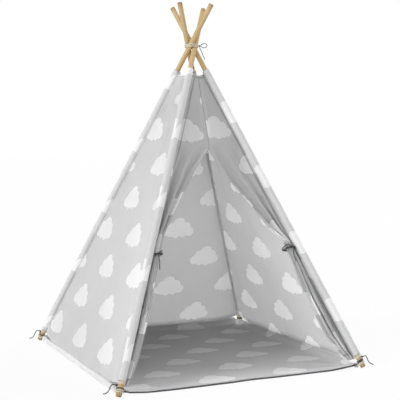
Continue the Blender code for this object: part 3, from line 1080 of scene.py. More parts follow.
@dataclass(frozen=True)
class FreeCord:
    """A cord that leaves a knot and hangs or lies free.

    Its route goes out, sideways and up from the knot's middle, in metres. The first point is only a
    direction: the cord starts there on the knot's surface, and one that returns ends so too.
    """

    route: tuple[tuple[float, float, float], ...]
    lay: str
    returns: bool = False
    steps: int = 6

    def build(
        self,
        name: str,
        kind: CordKind,
        knot: Knot,
        fit: float,
        centre: Vector,
        axes: Sequence[Vector],
    ) -> Object:
        """Args:
            name: The piece's name.
            kind: The cord's kind.
            knot: The knot that it leaves.
            fit: The clearance to the knot's surface.
            centre: The knot's middle.
            axes: The directions out, sideways and up.

        Returns:
            The cord.
        """
        offsets = [
            sum((axis * size for axis, size in zip(axes, sizes)), Vector()) for sizes in self.route
        ]
        offsets[0] = offsets[0].normalized() * (knot.radius + fit)
        if self.returns:
            offsets[-1] = offsets[-1].normalized() * (knot.radius + fit)
        line = smooth_route([centre + offset for offset in offsets], self.steps)
        piece = kind.tube(name, line)
        return piece


PALE_KIND = CordKind(0.004, Lay.TWISTED, 3, 0.011, 0.20, 18, 0.0007, "pale_cord")
DARK_KIND = CordKind(0.004, Lay.BRAIDED, 6, 0.012, 0.14, 24, 0.0006, "dark_cord")


# Poles and sleeves


@dataclass
class PoleSet:
    """The wooden sections of one pole."""

    pole: Pole
    materials: Materials
    seed: float
    section_names: tuple[str, ...] = ("lower", "middle", "upper")
    sides: int = 40
    round_steps: int = 4
    rub: float = 0.00008
    wear_reach: float = 0.004
    foot_dirt_and_shade: float = 0.8
    foot_dirt_and_shade_reach: float = 0.045
    spans: int = 24
    heart_reach: float = 0.010
    sharp_angle: float = math.radians(50.0)

    def _profile(self) -> list[tuple[float, float]]:
        """Radius and height up one section, with its ends rounded by handling."""
        stance = self.pole.stance
        turns = [math.pi / 2 * step / self.round_steps for step in range(self.round_steps + 1)]
        curve = [
            (
                stance.pole_radius - stance.end_round * (1 - math.sin(turn)),
                stance.end_round * (1 - math.cos(turn)),
            )
            for turn in turns
        ]
        body = stance.section_length - 2 * stance.end_round
        middle = [
            (stance.pole_radius, stance.end_round + body * step / self.spans)
            for step in range(1, self.spans)
        ]
        top = [(radius, stance.section_length - height) for radius, height in reversed(curve)]
        return curve + middle + top

    def _wear_and_shade(self, section: str, height: float) -> float:
        """How worn a section is at a height above its lower end, with dirt and painted shade at the
        foot.
        """
        from_top = self.pole.stance.section_length - height
        wear_and_shade = 1.0 - smooth_step(min(height, from_top), 0.0, self.wear_reach)
        # Partly painted shade: the lower section darkens towards the floor, as dirt and as shade.
        if section == "lower":
            fade = smooth_step(height, 0.0, self.foot_dirt_and_shade_reach)
            wear_and_shade = max(wear_and_shade, self.foot_dirt_and_shade - self.foot_dirt_and_shade * fade)
        return wear_and_shade

    def build(self) -> None:
        """Builds the three sections, each with its place in its log for the grain."""
        stance = self.pole.stance
        for index, section in enumerate(self.section_names):
            name = f"{self.pole.name}_pole_{section}"
            rows = []
            for radius, height in self._profile():
                ring = []
                for side in range(self.sides):
                    angle = 2 * math.pi * side / self.sides
                    reach = radius + self.rub * wave(3 * angle, 30 * height, self.seed + index)
                    ring.append(Vector((reach * math.cos(angle), reach * math.sin(angle), height)))
                rows.append(ring)
            bar = Surface(rows, closed=True, capped=True).build(name + "_bar", self.sharp_angle)
            layers = bar.data.attributes
            layers.new("log_place", "FLOAT_VECTOR", "POINT")
            layers.new("wear_and_shade", "FLOAT", "POINT")
            places, worn_and_shaded = layers["log_place"], layers["wear_and_shade"]
            shift = self.seed + 1.7 * index
            reach, turn = self.heart_reach, 7 * shift
            heart = Vector((reach * math.cos(turn), reach * math.sin(turn), 3.1 * shift))
            for vertex, place, wear_and_shade in zip(bar.data.vertices, places.data, worn_and_shaded.data):
                place.vector = vertex.co + heart
                wear_and_shade.value = self._wear_and_shade(section, vertex.co.z)
            step = stance.section_length + stance.fit
            bottom = stance.pole_start + index * step - stance.foot_to_crossing
            bar.matrix_world = self.pole.matrix @ Matrix.Translation((0.0, 0.0, bottom))
            dress(bar, self.pole.body, self.materials.pine, name)


def thicken(
    piece: Object, thickness: float, offset: float, thin_share: float, weights: list[float]
) -> None:
    """Gives cloth its thickness, which its hems have in full and the rest has a share of."""
    group = piece.vertex_groups.new(name="hem")
    for index, weight in enumerate(weights):
        group.add([index], weight, "REPLACE")
    solid = piece.modifiers.new("thickness", "SOLIDIFY")
    solid.thickness = thickness
    solid.offset = offset
    solid.vertex_group = group.name
    solid.thickness_vertex_group = thin_share
    solid.use_even_offset = False
    shading = piece.modifiers.new("even_shading", "WEIGHTED_NORMAL")
    shading.mode = "FACE_AREA"
    shading.weight = FACE_WEIGHT


@dataclass(frozen=True)
class SleeveCut:
    """The sizes of the corner sleeves, in metres."""

    radius: float = 0.0152
    bottom: float = 0.065
    to_crossing: float = 0.126
    hem_length: float = 0.018
    hem_blend: float = 0.002
    hem_stitch_shift: float = 0.006
    hem_swell: float = 0.0004
    swell_blend: tuple[float, float] = (-0.0015, 0.0010)
    slack_reach: float = 0.05
    slack_angles: tuple[float, float] = (0.35, 0.9)
    ripple: float = 0.00055
    fine_ripple: float = 0.00030
    seam_angle: float = math.radians(20.0)
    welt: float = 0.0008
    welt_width: float = math.radians(7.0)
    bridge: float = 0.0022
    bridge_low: float = math.radians(19.0)
    bridge_high: float = math.radians(27.0)
    cloth: float = 0.0016
    thin_share: float = 0.55
    edge_radius: float = 0.0167
    columns: int = 40
    rows: int = 190

    def top(self, stance: Stance) -> float:
        """How far up the pole the sleeve reaches."""
        return stance.foot_to_crossing - self.to_crossing


@dataclass
class Sleeve:
    """The cloth tube that one pole runs through, with a welt where each wall is sewn to it."""

    pole: Pole
    cut: SleeveCut
    materials: Materials
    print_shift: tuple[float, float]
    seed: float

    def _radius(self, angle: float, along: float, length: float) -> float:
        """The tube's radius at an angle from the inner side."""
        cut = self.cut
        reach = cut.radius
        for seam in (-cut.seam_angle, cut.seam_angle):
            reach += cut.welt * math.exp(-(((angle - seam) / cut.welt_width) ** 2))
        reach += cut.bridge * (1.0 - smooth_step(abs(angle), cut.bridge_low, cut.bridge_high))
        from_end = min(along, length - along)
        low, high = cut.swell_blend
        hem = 1.0 - smooth_step(from_end, cut.hem_length + low, cut.hem_length + high)
        slack = smooth_step(from_end, 0.0, cut.slack_reach)
        slack *= smooth_step(abs(angle), *cut.slack_angles)
        ripple = cut.ripple * wave(1.3 * angle, 16 * along, self.seed)
        ripple += cut.fine_ripple * wave(2.6 * angle + 9 * along, 55 * along, self.seed + 4)
        return reach + cut.hem_swell * hem + slack * ripple

    def build(self) -> None:
        """Builds the sleeve and sets it on its pole."""
        cut = self.cut
        length = cut.top(self.pole.stance) - cut.bottom
        angles = [2 * math.pi * (column / cut.columns - 0.5) for column in range(cut.columns + 1)]
        right, up = self.print_shift
        rows, printed, seams, hems, weights = [], [], [], [], []
        for row in range(cut.rows + 1):
            along = length * row / cut.rows
            ring = []
            for angle in angles[:-1]:
                reach = self._radius(angle, along, length)
                across, inward = -reach * math.sin(angle), reach * math.cos(angle)
                ring.append(self.pole.at(across, inward, cut.bottom + along))
            rows.append(ring)
            from_end = min(along, length - along)
            printed.append([(cut.radius * angle - right, along - up) for angle in angles])
            seams.append([(cut.radius * (abs(angle) - cut.seam_angle), along) for angle in angles])
            shifted = from_end + cut.hem_stitch_shift
            hems.append([(shifted, cut.radius * angle) for angle in angles])
            hem = 1.0 - smooth_step(from_end, cut.hem_length, cut.hem_length + cut.hem_blend)
            weights += [hem] * cut.columns
        layers = {"print": printed, "seam": seams, "hem": hems}
        piece = Surface(rows, layers, closed=True).build(self.pole.name + "_sleeve_cloth")
        thicken(piece, cut.cloth, -1.0, cut.thin_share, weights)
        node = self.pole.name + "_sleeve"
        dress(piece, self.pole.body, self.materials.sleeve, node)


# Walls


@dataclass(frozen=True)
class WallCut:
    """The sizes of the canopy's walls, in metres, and how they hang."""

    hem_height: float = 0.030
    hem_corner_power: int = 6
    top_inset: float = 0.008
    top_dip: float = 0.012
    slack: float = 0.010
    sag: float = 0.0038
    drape: float = 0.0012
    pucker: float = 0.0012
    pucker_reach: float = 0.045
    gathers: float = 0.0003
    gather_pitch: float = 0.085
    flutter: float = 0.0030
    flutter_reach: float = 0.05
    hem_width: float = 0.025
    top_hem_width: float = 0.012
    top_stitch_shift: float = 0.010
    hem_blend: tuple[float, float] = (-0.0008, 0.0012)
    cloth: float = 0.0022
    thin_share: float = 0.55
    columns: int = 56
    rows: int = 110
    door_bottom: float = 0.052
    door_hem_width: float = 0.014
    door_step: float = 0.0004
    door_folds: int = 2
    door_smoothing: float = 0.012
    door_swing: float = math.radians(125.0)
    door_hang: float = 0.6
    small_fold: float = 0.30
    small_drift: float = 0.32
    door_columns: int = 84
    door_rows: int = 170
    door_lean_low: float = 0.385
    door_lean_high: float = 0.690


def seam_point(pole: Pole, cut: SleeveCut, side: int, along: float) -> Vector:
    """Where a wall meets a pole's sleeve, side being 1 towards the next pole or else -1."""
    return pole.at(
        side * cut.edge_radius * math.sin(cut.seam_angle),
        cut.edge_radius * math.cos(cut.seam_angle),
        along,
    )


@dataclass
class Panel:
    """One side of the canopy, between two poles, as it is cut and hung."""

    name: str
    first: Pole
    second: Pole
    cut: WallCut
    sleeve: SleeveCut
    print_shift: tuple[float, float]
    seed: float

    def __post_init__(self) -> None:
        """Works out the panel's own directions."""
        seam = seam_point(self.first, self.sleeve, 1, 0.0) - seam_point(
            self.second, self.sleeve, -1, 0.0
        )
        self.inward = seam.cross(self.first.up + self.second.up).normalized()
        self.middle = (self.first.foot + self.second.foot) / 2
        self.level = (self.second.foot - self.first.foot).normalized()
        apex = Vector((0.0, 0.0, self.first.stance.crossing_height))
        self.slope = (apex - self.middle).normalized()
        self.half_width = self.first.stance.foot_spacing / 2

    def bottom(self, share: float) -> float:
        """How far up the poles the hem hangs, at a share of the width."""
        hem = self.cut.hem_height / math.cos(self.first.stance.lean)
        corner = abs(2 * share - 1) ** self.cut.hem_corner_power
        return hem + (self.sleeve.bottom - hem) * corner

    def top(self, share: float) -> float:
        """How far up the poles the panel reaches, at a share of the width."""
        edge = self.sleeve.top(self.first.stance) - self.cut.top_inset
        return edge - self.cut.top_dip * 4 * share * (1 - share)

    def flat_point(self, share: float, along: float) -> Vector:
        """A point of the taut panel."""
        start = seam_point(self.first, self.sleeve, 1, along)
        return start.lerp(seam_point(self.second, self.sleeve, -1, along), share)

    def half_span(self, along: float) -> float:
        """Half the distance between the panel's two seams at a height."""
        return (self.flat_point(1.0, along) - self.flat_point(0.0, along)).length / 2

    def print_place(self, point: Vector) -> tuple[float, float]:
        """A point's place on the printed cloth."""
        away = point - self.middle
        return (
            away.dot(self.level) - self.print_shift[0],
            away.dot(self.slope) - self.print_shift[1],
        )

    def hang(self, share: float, along: float, up_share: float) -> float:
        """How far inwards the cloth hangs from the taut panel."""
        cut = self.cut
        slack = cut.slack * 4 * share * (1 - share) * math.sin(math.pi * up_share**0.7)
        from_seam = min(share, 1 - share) * 2
        free = smooth_step(from_seam, 0.0, 0.25)
        broad = cut.sag * wave(2.6 * share, 1.7 * along, self.seed) * free
        drape = cut.drape * wave(9.0 * share, 2.2 * along, self.seed + 3) * free
        width = self.half_width * max(1 - along / self.first.stance.foot_to_crossing, 0.02)
        edge = from_seam * width
        pucker = cut.pucker * wave(30.0 * edge, 21.0 * along, self.seed + 6)
        pucker *= math.exp(-edge / cut.pucker_reach) * smooth_step(edge, 0.0, 0.006)
        gather = cut.gathers * math.sin(2 * math.pi * edge / cut.gather_pitch) * free
        flutter = cut.flutter * wave(11.0 * share, 0.0, self.seed + 8)
        flutter *= math.exp(-up_share / cut.flutter_reach)
        return slack + broad + drape + pucker + gather + flutter * free


def squash_to(piece: Object) -> None:
    """Gives a panel's half a mesh of its own.

    Args:
        piece: The half panel.
    """
    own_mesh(piece)


@dataclass(frozen=True)
class Spot:
    """A point of a wall's cloth, and its places on the print and beside its seams and hems.

    past_hem is how far it lies inside the nearest hem's inner edge.
    """

    point: Vector
    printed: tuple[float, float]
    seam: tuple[float, float]
    hem: tuple[float, float]
    past_hem: float


def sew(name: str, rows: list[list[Spot]], side: int, cut: WallCut) -> Object:
    """Makes half a side of the canopy.

    Args:
        name: The piece's name.
        rows: Its spots, in rows from its pole outwards.
        side: 1 where the rows run towards the next pole, anticlockwise from above, or -1.
        cut: The cloth's sizes.

    Returns:
        The cloth, its face outwards.
    """
    rows = [row[::side] for row in rows]
    layers = {
        "print": [[spot.printed for spot in row] for row in rows],
        "seam": [[spot.seam for spot in row] for row in rows],
        "hem": [[spot.hem for spot in row] for row in rows],
    }
    piece = Surface([[spot.point for spot in row] for row in rows], layers).build(name)
    weights = [1.0 - smooth_step(spot.past_hem, *cut.hem_blend) for row in rows for spot in row]
    thicken(piece, cut.cloth, 0.0, cut.thin_share, weights)
    return piece


@dataclass
class HalfWall:
    """Half of a plain wall, from its pole to the wall's middle."""

    panel: Panel
    pole: Pole
    materials: Materials

    def build(self) -> None:
        """Builds the half wall and sets it on its pole."""
        panel, cut = self.panel, self.panel.cut
        side = 1 if self.pole is panel.first else -1
        rows = []
        for row in range(cut.rows + 1):
            up_share = row / cut.rows
            rows.append([])
            for column in range(cut.columns + 1):
                half = (1 - math.cos(math.pi * column / cut.columns / 2)) / 2
                share = half if side == 1 else 1 - half
                bottom = panel.bottom(share)
                along = bottom + (panel.top(share) - bottom) * up_share
                flat = panel.flat_point(share, along)
                width = 2 * panel.half_span(along)
                from_top = panel.top(share) - along
                spot = Spot(
                    flat + panel.inward * panel.hang(share, along, up_share),
                    panel.print_place(flat),
                    (half * width, along),
                    (min(along - bottom, from_top + cut.top_stitch_shift), share * width),
                    min(along - bottom - cut.hem_width, from_top - cut.top_hem_width),
                )
                rows[-1].append(spot)
        piece = sew(f"{panel.name}_{self.pole.name}_half", rows, side, cut)
        dress(piece, self.pole.body, self.materials.canopy, panel.name)
        squash_to(piece)
        low, high = panel.bottom(0.5), panel.top(0.5)
        height = (panel.flat_point(0.5, high) - panel.flat_point(0.5, low)).length
        foot, head = panel.half_span(low), panel.half_span(high)


# Door

# Each row: how far up the pole, how wide the cloth shows and how much cloth is folded in that
# width, as shares of the pole up to the crossing and of half the wall's width there.
GatherTable = tuple[tuple[float, float, float], ...]
LEFT_GATHER: GatherTable = (
    (0.030, 0.040, 0.240),
    (0.055, 0.058, 0.360),
    (0.103, 0.076, 0.520),
    (0.207, 0.100, 0.580),
    (0.340, 0.100, 0.560),
    (0.400, 0.100, 0.560),
    (0.424, 0.116, 0.520),
    (0.449, 0.158, 0.505),
    (0.498, 0.266, 0.545),
    (0.555, 0.404, 0.630),
    (0.619, 0.610, 0.760),
    (0.676, 1.000, 1.000),
)
RIGHT_GATHER: GatherTable = (
    (0.030, 0.045, 0.240),
    (0.055, 0.084, 0.360),
    (0.107, 0.130, 0.520),
    (0.211, 0.136, 0.580),
    (0.340, 0.100, 0.560),
    (0.396, 0.100, 0.560),
    (0.417, 0.165, 0.520),
    (0.470, 0.245, 0.530),
    (0.524, 0.350, 0.575),
    (0.557, 0.450, 0.640),
    (0.622, 0.735, 0.830),
    (0.671, 1.000, 1.000),
)


@dataclass(frozen=True)
class Gather:
    """How a door half is gathered at one height."""

    along: float
    start: Vector
    across: Vector
    inward: Vector
    half: float
    width: float
    length: float
    section: tuple[tuple[float, float], ...]

    def point(self, across: float, inward: float) -> Vector:
        """A point beside the seam, in the section's plane."""
        return self.start + self.across * across + self.inward * inward


@dataclass
class DoorHalf:
    """One half of the front: sewn to the other above the opening, gathered to its pole below."""

    name: str
    panel: Panel
    pole: Pole
    other: Pole
    table: GatherTable
    seam_line: float
    free_line: bool
    lean: float
    materials: Materials

    @property
    def side(self) -> int:
        """1 where the other pole is the next one, anticlockwise from above, or -1."""
        return 1 if self.pole is self.panel.first else -1

    def _shares(self, along: float) -> tuple[float, float]:
        """The visible width and folded length at a height, as shares of half the wall's width."""
        place = along / self.pole.stance.foot_to_crossing
        table = self.table
        if place <= table[0][0]:
            return table[0][1], table[0][2]
        for (low, *below), (high, *above) in zip(table, table[1:]):
            if place < high:
                part = (place - low) / (high - low)
                return tuple(b + (a - b) * part for b, a in zip(below, above))
        return table[-1][1], table[-1][2]

    def _smooth_shares(self, along: float) -> tuple[float, float]:
        """The same, with the corners between the table's rows rounded off."""
        reach = self.panel.cut.door_smoothing
        near = [self._shares(along + reach * step / 3) for step in range(-3, 4)]
        return tuple(sum(pair[item] for pair in near) / len(near) for item in (0, 1))

    def gather(self, along: float) -> Gather:
        """How the cloth lies at a height.

        Its heading swings from side to side, which folds it without stretching.
        """
        start = seam_point(self.pole, self.panel.sleeve, self.side, along)
        far = seam_point(self.other, self.panel.sleeve, -self.side, along)
        across = (far - start).normalized()
        inward = (self.pole.up.cross(across) * self.side).normalized()
        half = (far - start).length / 2 - self.pole.stance.fit / 2
        width_share, length_share = self._smooth_shares(along)
        width, length = half * width_share, half * length_share
        cut = self.panel.cut
        count = cut.door_columns
        drift = 0.5 * wave(3.0 * along, 0.0, self.panel.seed + self.side)
        small = cut.small_drift * wave(4.0 * along, 7.0, self.panel.seed + self.side)
        small += cut.small_fold
        headings = []
        for step in range(count):
            turn = 2 * math.pi * (step + 0.5) / count
            headings.append(
                math.sin(cut.door_folds * turn) + small * math.sin(5 * turn + 2.0 + drift)
            )
        low, high = 0.0, cut.door_swing
        for _ in range(HALVINGS):
            swing = (low + high) / 2
            reach = length * sum(math.cos(swing * h) for h in headings) / count
            low, high = (swing, high) if reach > width else (low, swing)
        section, x, y = [(0.0, 0.0)], 0.0, 0.0
        for h in headings:
            x += length / count * math.cos(low * h)
            y += length / count * math.sin(low * h)
            section.append((x, y))
        place = along / self.pole.stance.foot_to_crossing
        rise = (place - cut.door_lean_low) / (cut.door_lean_high - cut.door_lean_low)
        lean = self.lean * math.sin(math.pi * min(max(rise, 0.0), 1.0))
        drop = section[-1][1] - lean
        evened = [(x, y - drop * index / count) for index, (x, y) in enumerate(section)]
        return Gather(along, start, across, inward, half, width, length, tuple(evened))

    def _from_line(self, passed: float, length: float) -> float:
        """The place beside the nearest line of stitches, for a place across the cloth."""
        # The door's finish paints a shadow line along these lines, beside the stitches.
        sewn = abs(passed - self.seam_line)
        free = length - passed if self.free_line else math.inf
        return min(sewn, free) + CottonFinish.seam_offset

    def build(self) -> None:
        """Builds the door half and sets it on its pole."""
        panel, cut = self.panel, self.panel.cut
        rows = []
        for row in range(cut.door_rows + 1):
            up_share = row / cut.door_rows
            gather = None
            rows.append([])
            for column in range(cut.door_columns + 1):
                share = column / cut.door_columns
                top = panel.top(share / 2)
                along = cut.door_bottom + (top - cut.door_bottom) * up_share
                if gather is None or abs(along - gather.along) > cut.door_step:
                    gather = self.gather(along)
                x, y = gather.section[column]
                flat = 1.0 - smooth_step(gather.half - gather.width, 0.0, 0.10 * gather.half + 0.01)
                hang = panel.hang(share / 2, along, up_share) * flat
                hang *= smooth_step(1 - share, 0.0, 0.2)
                passed = share * gather.length
                seam_place = panel.print_place(gather.start)
                from_bottom, from_top = along - cut.door_bottom, top - along
                spot = Spot(
                    gather.point(x, y + cut.door_hang * hang),
                    (seam_place[0] + self.side * passed, seam_place[1]),
                    (self._from_line(passed, gather.length), along),
                    (
                        min(from_bottom, from_top + cut.top_stitch_shift),
                        self.side * (passed - panel.half_width),
                    ),
                    min(
                        from_bottom - cut.hem_width,
                        from_top - cut.top_hem_width,
                        (1 - share) * gather.length - cut.door_hem_width,
                    ),
                )
                rows[-1].append(spot)
        piece = sew(self.name + "_cloth", rows, self.side, cut)
        dress(piece, self.pole.body, self.materials.door, self.name)
        squash_to(piece)
        edge, widths = self._flat_cut()

    def _flat_cut(self) -> tuple[float, list[float]]:
        """The length of the half's edge at the sleeve, and its widths, square to that edge, at even
        places along it."""
        low, high = self.panel.cut.door_bottom, self.panel.top(0.25)
        square = self.pole.up.cross(self.panel.level).length
        count = self.panel.cut.door_rows
        places = [low + (high - low) * (row + 0.5) / count for row in range(count)]
        return high - low, [square * self.gather(along).length for along in places]


@dataclass
class DoorTie:
    """The doubled cord round a gathered door half, its knot and its end."""

    name: str
    door: DoorHalf
    knot: Knot
    materials: Materials
    height_share: float = 0.370
    tail: FreeCord = FreeCord(
        (
            (0.0000, 0.0000, -0.0048),
            (-0.0005, 0.0005, -0.0130),
            (-0.0025, 0.0015, -0.0230),
            (-0.0045, 0.0020, -0.0340),
            (-0.0050, 0.0010, -0.0460),
            (-0.0045, -0.0010, -0.0570),
            (-0.0040, -0.0020, -0.0670),
        ),
        "hanging",
    )

    def _build_crossing(
        self, gather: Gather, width: float, front: float, rear: float, rise: Vector
    ) -> None:
        """Lays a slanting turn of the same cord over the doubled one.

        Args:
            gather: How the cloth lies under the tie.
            width: The gathered cloth's width.
            front: The doubled cord's depth at the outside.
            rear: The same at the inside.
            rise: The direction along the pole, square to the cloth.
        """
        pole, kind = self.door.pole, DARK_KIND
        step = kind.diameter * 0.9
        route = (
            (0.002, front - step * 0.4, -0.013),
            (width * 0.25, front - step, -0.008),
            (width * 0.75, front - step, 0.004),
            (width + step, front * 0.5 - step, 0.010),
            (width + step * 1.4, (front + rear) / 2, 0.009),
            (width + step, rear + step * 0.4, 0.004),
            (width * 0.6, rear + step, -0.004),
            (0.004, rear + step * 0.6, -0.010),
        )
        line = [gather.point(x, y) + rise * z for x, y, z in route]
        band = kind.tube(self.name + "_crossing_cord", smooth_route(line, 8))
        dress(band, pole.body, self.materials.dark, self.name)

    def build(self) -> None:
        """Builds the pieces and sets them on the door's pole."""
        pole, kind = self.door.pole, DARK_KIND
        fit = pole.stance.fit
        gather = self.door.gather(self.height_share * pole.stance.foot_to_crossing)
        places, depths = zip(*gather.section)
        width, depth, shallow = max(places), max(depths), min(depths)
        off = self.door.panel.cut.cloth / 2 + fit + kind.diameter / 2
        lead = kind.diameter / 2 + pole.stance.pole_diameter / 16
        bend = [math.pi / 2 * step / 5 for step in range(6)]
        turn = [(lead, shallow - off), (width / 2, shallow - off)]
        turn += [(width + off * math.sin(a), shallow - off * math.cos(a)) for a in bend]
        turn += [(width + off * math.cos(a), depth + off * math.sin(a)) for a in bend]
        turn += [(width / 2, depth + off), (0.0, depth + off)]
        rise = (pole.up - gather.across * pole.up.dot(gather.across)).normalized()
        drop = rise * (kind.diameter + 2 * fit)
        upper = [gather.point(x, y) for x, y in turn]
        lower = [point - drop for point in reversed(upper)]
        hairpin = (upper[-1] + lower[0]) / 2 - gather.across * kind.diameter / 2
        band = kind.tube(self.name + "_cord", smooth_route(upper + [hairpin] + lower, 4))
        dress(band, pole.body, self.materials.dark, self.name)
        self._build_crossing(gather, width, shallow - off, depth + off, rise)
        seat = self.knot.seat(kind, drop.length, fit)
        centre = gather.point(width / 2, shallow - off - seat) - drop / 2
        axes = (-gather.inward, gather.across, rise)
        tied = self.knot.build(self.name + "_knot_cord", kind, centre, axes[1], axes[0])
        dress(tied, pole.body, self.materials.dark, self.name + "_knot")
        end = self.tail.build(self.name + "_end_cord", kind, self.knot, fit, centre, axes)
        dress(end, pole.body, self.materials.dark, self.name + "_end")


# Mat


@dataclass
class Mat:
    """The floor mat: flat, a little wavy, its corners drawn up towards the poles' loops."""

    stance: Stance
    materials: Materials
    thickness: float = 0.003
    corner_radius: float = 0.023
    corner_gap: float = 0.014
    binding: float = 0.006
    binding_lap: float = 0.010
    lift: float = 0.010
    lift_reach: float = 0.150
    rest_gap: float = 0.0006
    floor_gap: float = 0.0001
    curl: float = 0.0235
    curl_reach: float = 0.060
    curl_change: float = 0.09
    front_fade: float = 0.16
    folds: int = 10
    fold_height: float = 0.0065
    fold_reach: float = 0.15
    fold_start: float = 0.05
    fold_share: float = 0.35
    waves: float = 0.0022
    loose_rise: float = 0.0010
    rear_rise: float = 0.013
    rise_start: tuple[float, float] = (0.38, 0.50)
    rise_end: tuple[float, float] = (0.500, 0.525)
    print_shift: tuple[float, float] = (0.06, 0.02)
    cells: int = 150
    crowding: float = 0.35
    arc_steps: int = 6
    tape_steps: int = 120
    tape: float = 0.0011
    tape_change: float = 0.0002
    nose_share: float = 0.42
    sharp_angle: float = math.radians(60.0)

    @property
    def corner_reach(self) -> float:
        """How far out a rounded corner comes."""
        stance = self.stance
        rim = stance.foot_radius - stance.pole_start * math.sin(stance.lean)
        return rim - stance.pole_radius * math.cos(stance.lean) - self.corner_gap

    @property
    def half(self) -> float:
        """Half the mat's width."""
        return (self.corner_reach - self.corner_radius) / math.sqrt(2) + self.corner_radius

    def top(self, x: float, y: float) -> float:
        """The height of the mat's upper face."""
        tip = self.corner_reach / math.sqrt(2)
        near = math.hypot(abs(x) - tip, abs(y) - tip)
        lift = self.lift * smooth_step(1 - near / self.lift_reach, 0.0, 1.0)
        angle = math.atan2(tip - abs(y), tip - abs(x))
        fan = math.sin(self.folds * angle + 2.0 * wave(4 * x, 4 * y, 2.0))
        drawn = math.exp(-near / self.fold_reach) * smooth_step(near, 0.0, self.fold_start)
        waves = self.waves * (wave(3.2 * x, 3.2 * y, 5.0) + 0.5 * wave(9 * x, 9 * y, 8.0))
        uneven = max(min(wave(5.0 * x, 5.0 * y, 13.0), 1.0), -1.0)
        curl = self.curl * (1 - self.curl_change + self.curl_change * uneven)
        curl *= smooth_step(max(abs(x), y), self.half - self.curl_reach, self.half)
        curl *= smooth_step(y, -self.half, -self.half + self.front_fade)
        curl *= 1.0 - self.fold_share * drawn * (0.5 + 0.5 * fan)
        loose = max(waves + self.fold_height * fan * drawn + self.loose_rise, 0.0)
        loose *= 1.0 - curl / self.curl
        return self.thickness + self.rest_gap + loose + max(lift, curl + self._rise_at_rear(x, y))

    def _rise_at_rear(self, x: float, y: float) -> float:
        """How much higher the rear edge stands beside its corners, under the rear wall's hem."""
        rise = smooth_step(abs(x), *self.rise_start)
        rise *= 1.0 - smooth_step(abs(x), *self.rise_end)
        return self.rear_rise * rise * smooth_step(y, self.half - self.curl_reach, self.half)

    def place(self, x: float, y: float) -> tuple[float, float]:
        """Moves a point of the plain square onto the square with rounded corners."""
        middle = self.half - self.corner_radius
        over_x, over_y = abs(x) - middle, abs(y) - middle
        if over_x > 0 and over_y > 0:
            scale = max(over_x, over_y) / math.hypot(over_x, over_y)
            x = math.copysign(middle + over_x * scale, x)
            y = math.copysign(middle + over_y * scale, y)
        return x, y

    def build_cloth(self) -> Object:
        """The mat's cloth."""
        rows, printed, seams = [], [], []
        for row in range(self.cells + 1):
            points, places, edges = [], [], []
            for column in range(self.cells + 1):
                square = [
                    self.half * math.sin(math.pi / 2 * (2 * step / self.cells - 1)) * self.crowding
                    + self.half * (2 * step / self.cells - 1) * (1 - self.crowding)
                    for step in (column, row)
                ]
                x, y = self.place(*square)
                points.append(Vector((x, y, self.top(x, y))))
                places.append((x - self.print_shift[0], y - self.print_shift[1]))
                from_edge = self.half - max(abs(square[0]), abs(square[1]))
                edges.append((from_edge, x + y))
            rows.append(points)
            printed.append(places)
            seams.append(edges)
        layers = {"print": printed, "seam": seams, "hem": seams}
        piece = Surface(rows, layers).build("floor_mat_cloth")
        weights = [1.0] * len(piece.data.vertices)
        thicken(piece, self.thickness, -1.0, 1.0, weights)
        dress(piece, "mat", self.materials.mat, "floor_mat")
        return piece

    def _edge(self, side: int, steps: int) -> list[tuple[Vector, Vector, float]]:
        """Points along one side of the mat from corner to corner, each with its outward direction.

        Args:
            side: 0 for the right side, then anticlockwise: rear, left and front.
            steps: How many stretches the straight part is cut into.
        """
        out = level(side * math.pi / 2)
        along = beside(out)
        middle = self.half - self.corner_radius
        line = []
        arc = self.arc_steps
        for step in range(arc):
            turn = -math.pi / 4 * (1 - step / arc)
            way = out * math.cos(turn) + along * math.sin(turn)
            line.append((out * middle - along * middle + way * self.corner_radius, way))
        for step in range(steps + 1):
            line.append((out * self.half + along * (middle * (2 * step / steps - 1)), out))
        for step in range(1, arc + 1):
            turn = math.pi / 4 * step / arc
            way = out * math.cos(turn) + along * math.sin(turn)
            line.append((out * middle + along * middle + way * self.corner_radius, way))
        measured, passed = [], 0.0
        for index, (point, way) in enumerate(line):
            if index:
                passed += (point - line[index - 1][0]).length
            measured.append((point, way, passed))
        return measured

    def build_binding(self, name: str, side: int, dark: bool) -> Object:
        """The tape folded over one side of the mat."""
        nose, lap = self.binding * self.nose_share, self.binding_lap
        rows, tape = [], []
        for point, way, along in self._edge(side, self.tape_steps):
            top = self.top(point.x, point.y)
            bottom = self.floor_gap
            if dark:
                bottom = max(top - self.thickness - self.rest_gap, bottom)
            thick = self.tape + self.tape_change * wave(40 * along, 0.0, side + 20.0)
            mid = (top + thick + bottom) / 2
            section = [(-lap, top - 0.0004), (-lap, top + thick * 0.8)]
            section += [(-lap + 0.001, top + thick), (0.0, top + thick)]
            for step in range(1, 8):
                turn = math.pi * step / 8
                rise = (top + thick - bottom) / 2
                section.append((nose * math.sin(turn), mid + rise * math.cos(turn)))
            section += [(0.0, bottom), (-lap, bottom), (-lap, bottom + 0.0005)]
            rows.append([point + way * out + UP * height for out, height in section])
            line, passed = [], 0.0
            for index in range(len(section) + 1):
                line.append((passed, along))
                here, after = section[index % len(section)], section[(index + 1) % len(section)]
                passed += math.hypot(after[0] - here[0], after[1] - here[1])
            tape.append(line)
        piece = Surface(rows, {"tape": tape}, closed=True, capped=True).build(
            f"mat_binding_{name}_tape", self.sharp_angle
        )
        material = self.materials.charcoal if dark else self.materials.grey
        dress(piece, "mat", material, "mat_binding_" + name)
        return piece

    def build(self) -> None:
        """Builds the mat and its four bindings."""
        cloth = self.build_cloth()
        tapes = [
            self.build_binding(name, side, name == "front")
            for side, name in enumerate(("right", "rear", "left", "front"))
        ]


# Ties at the feet, and the lashing


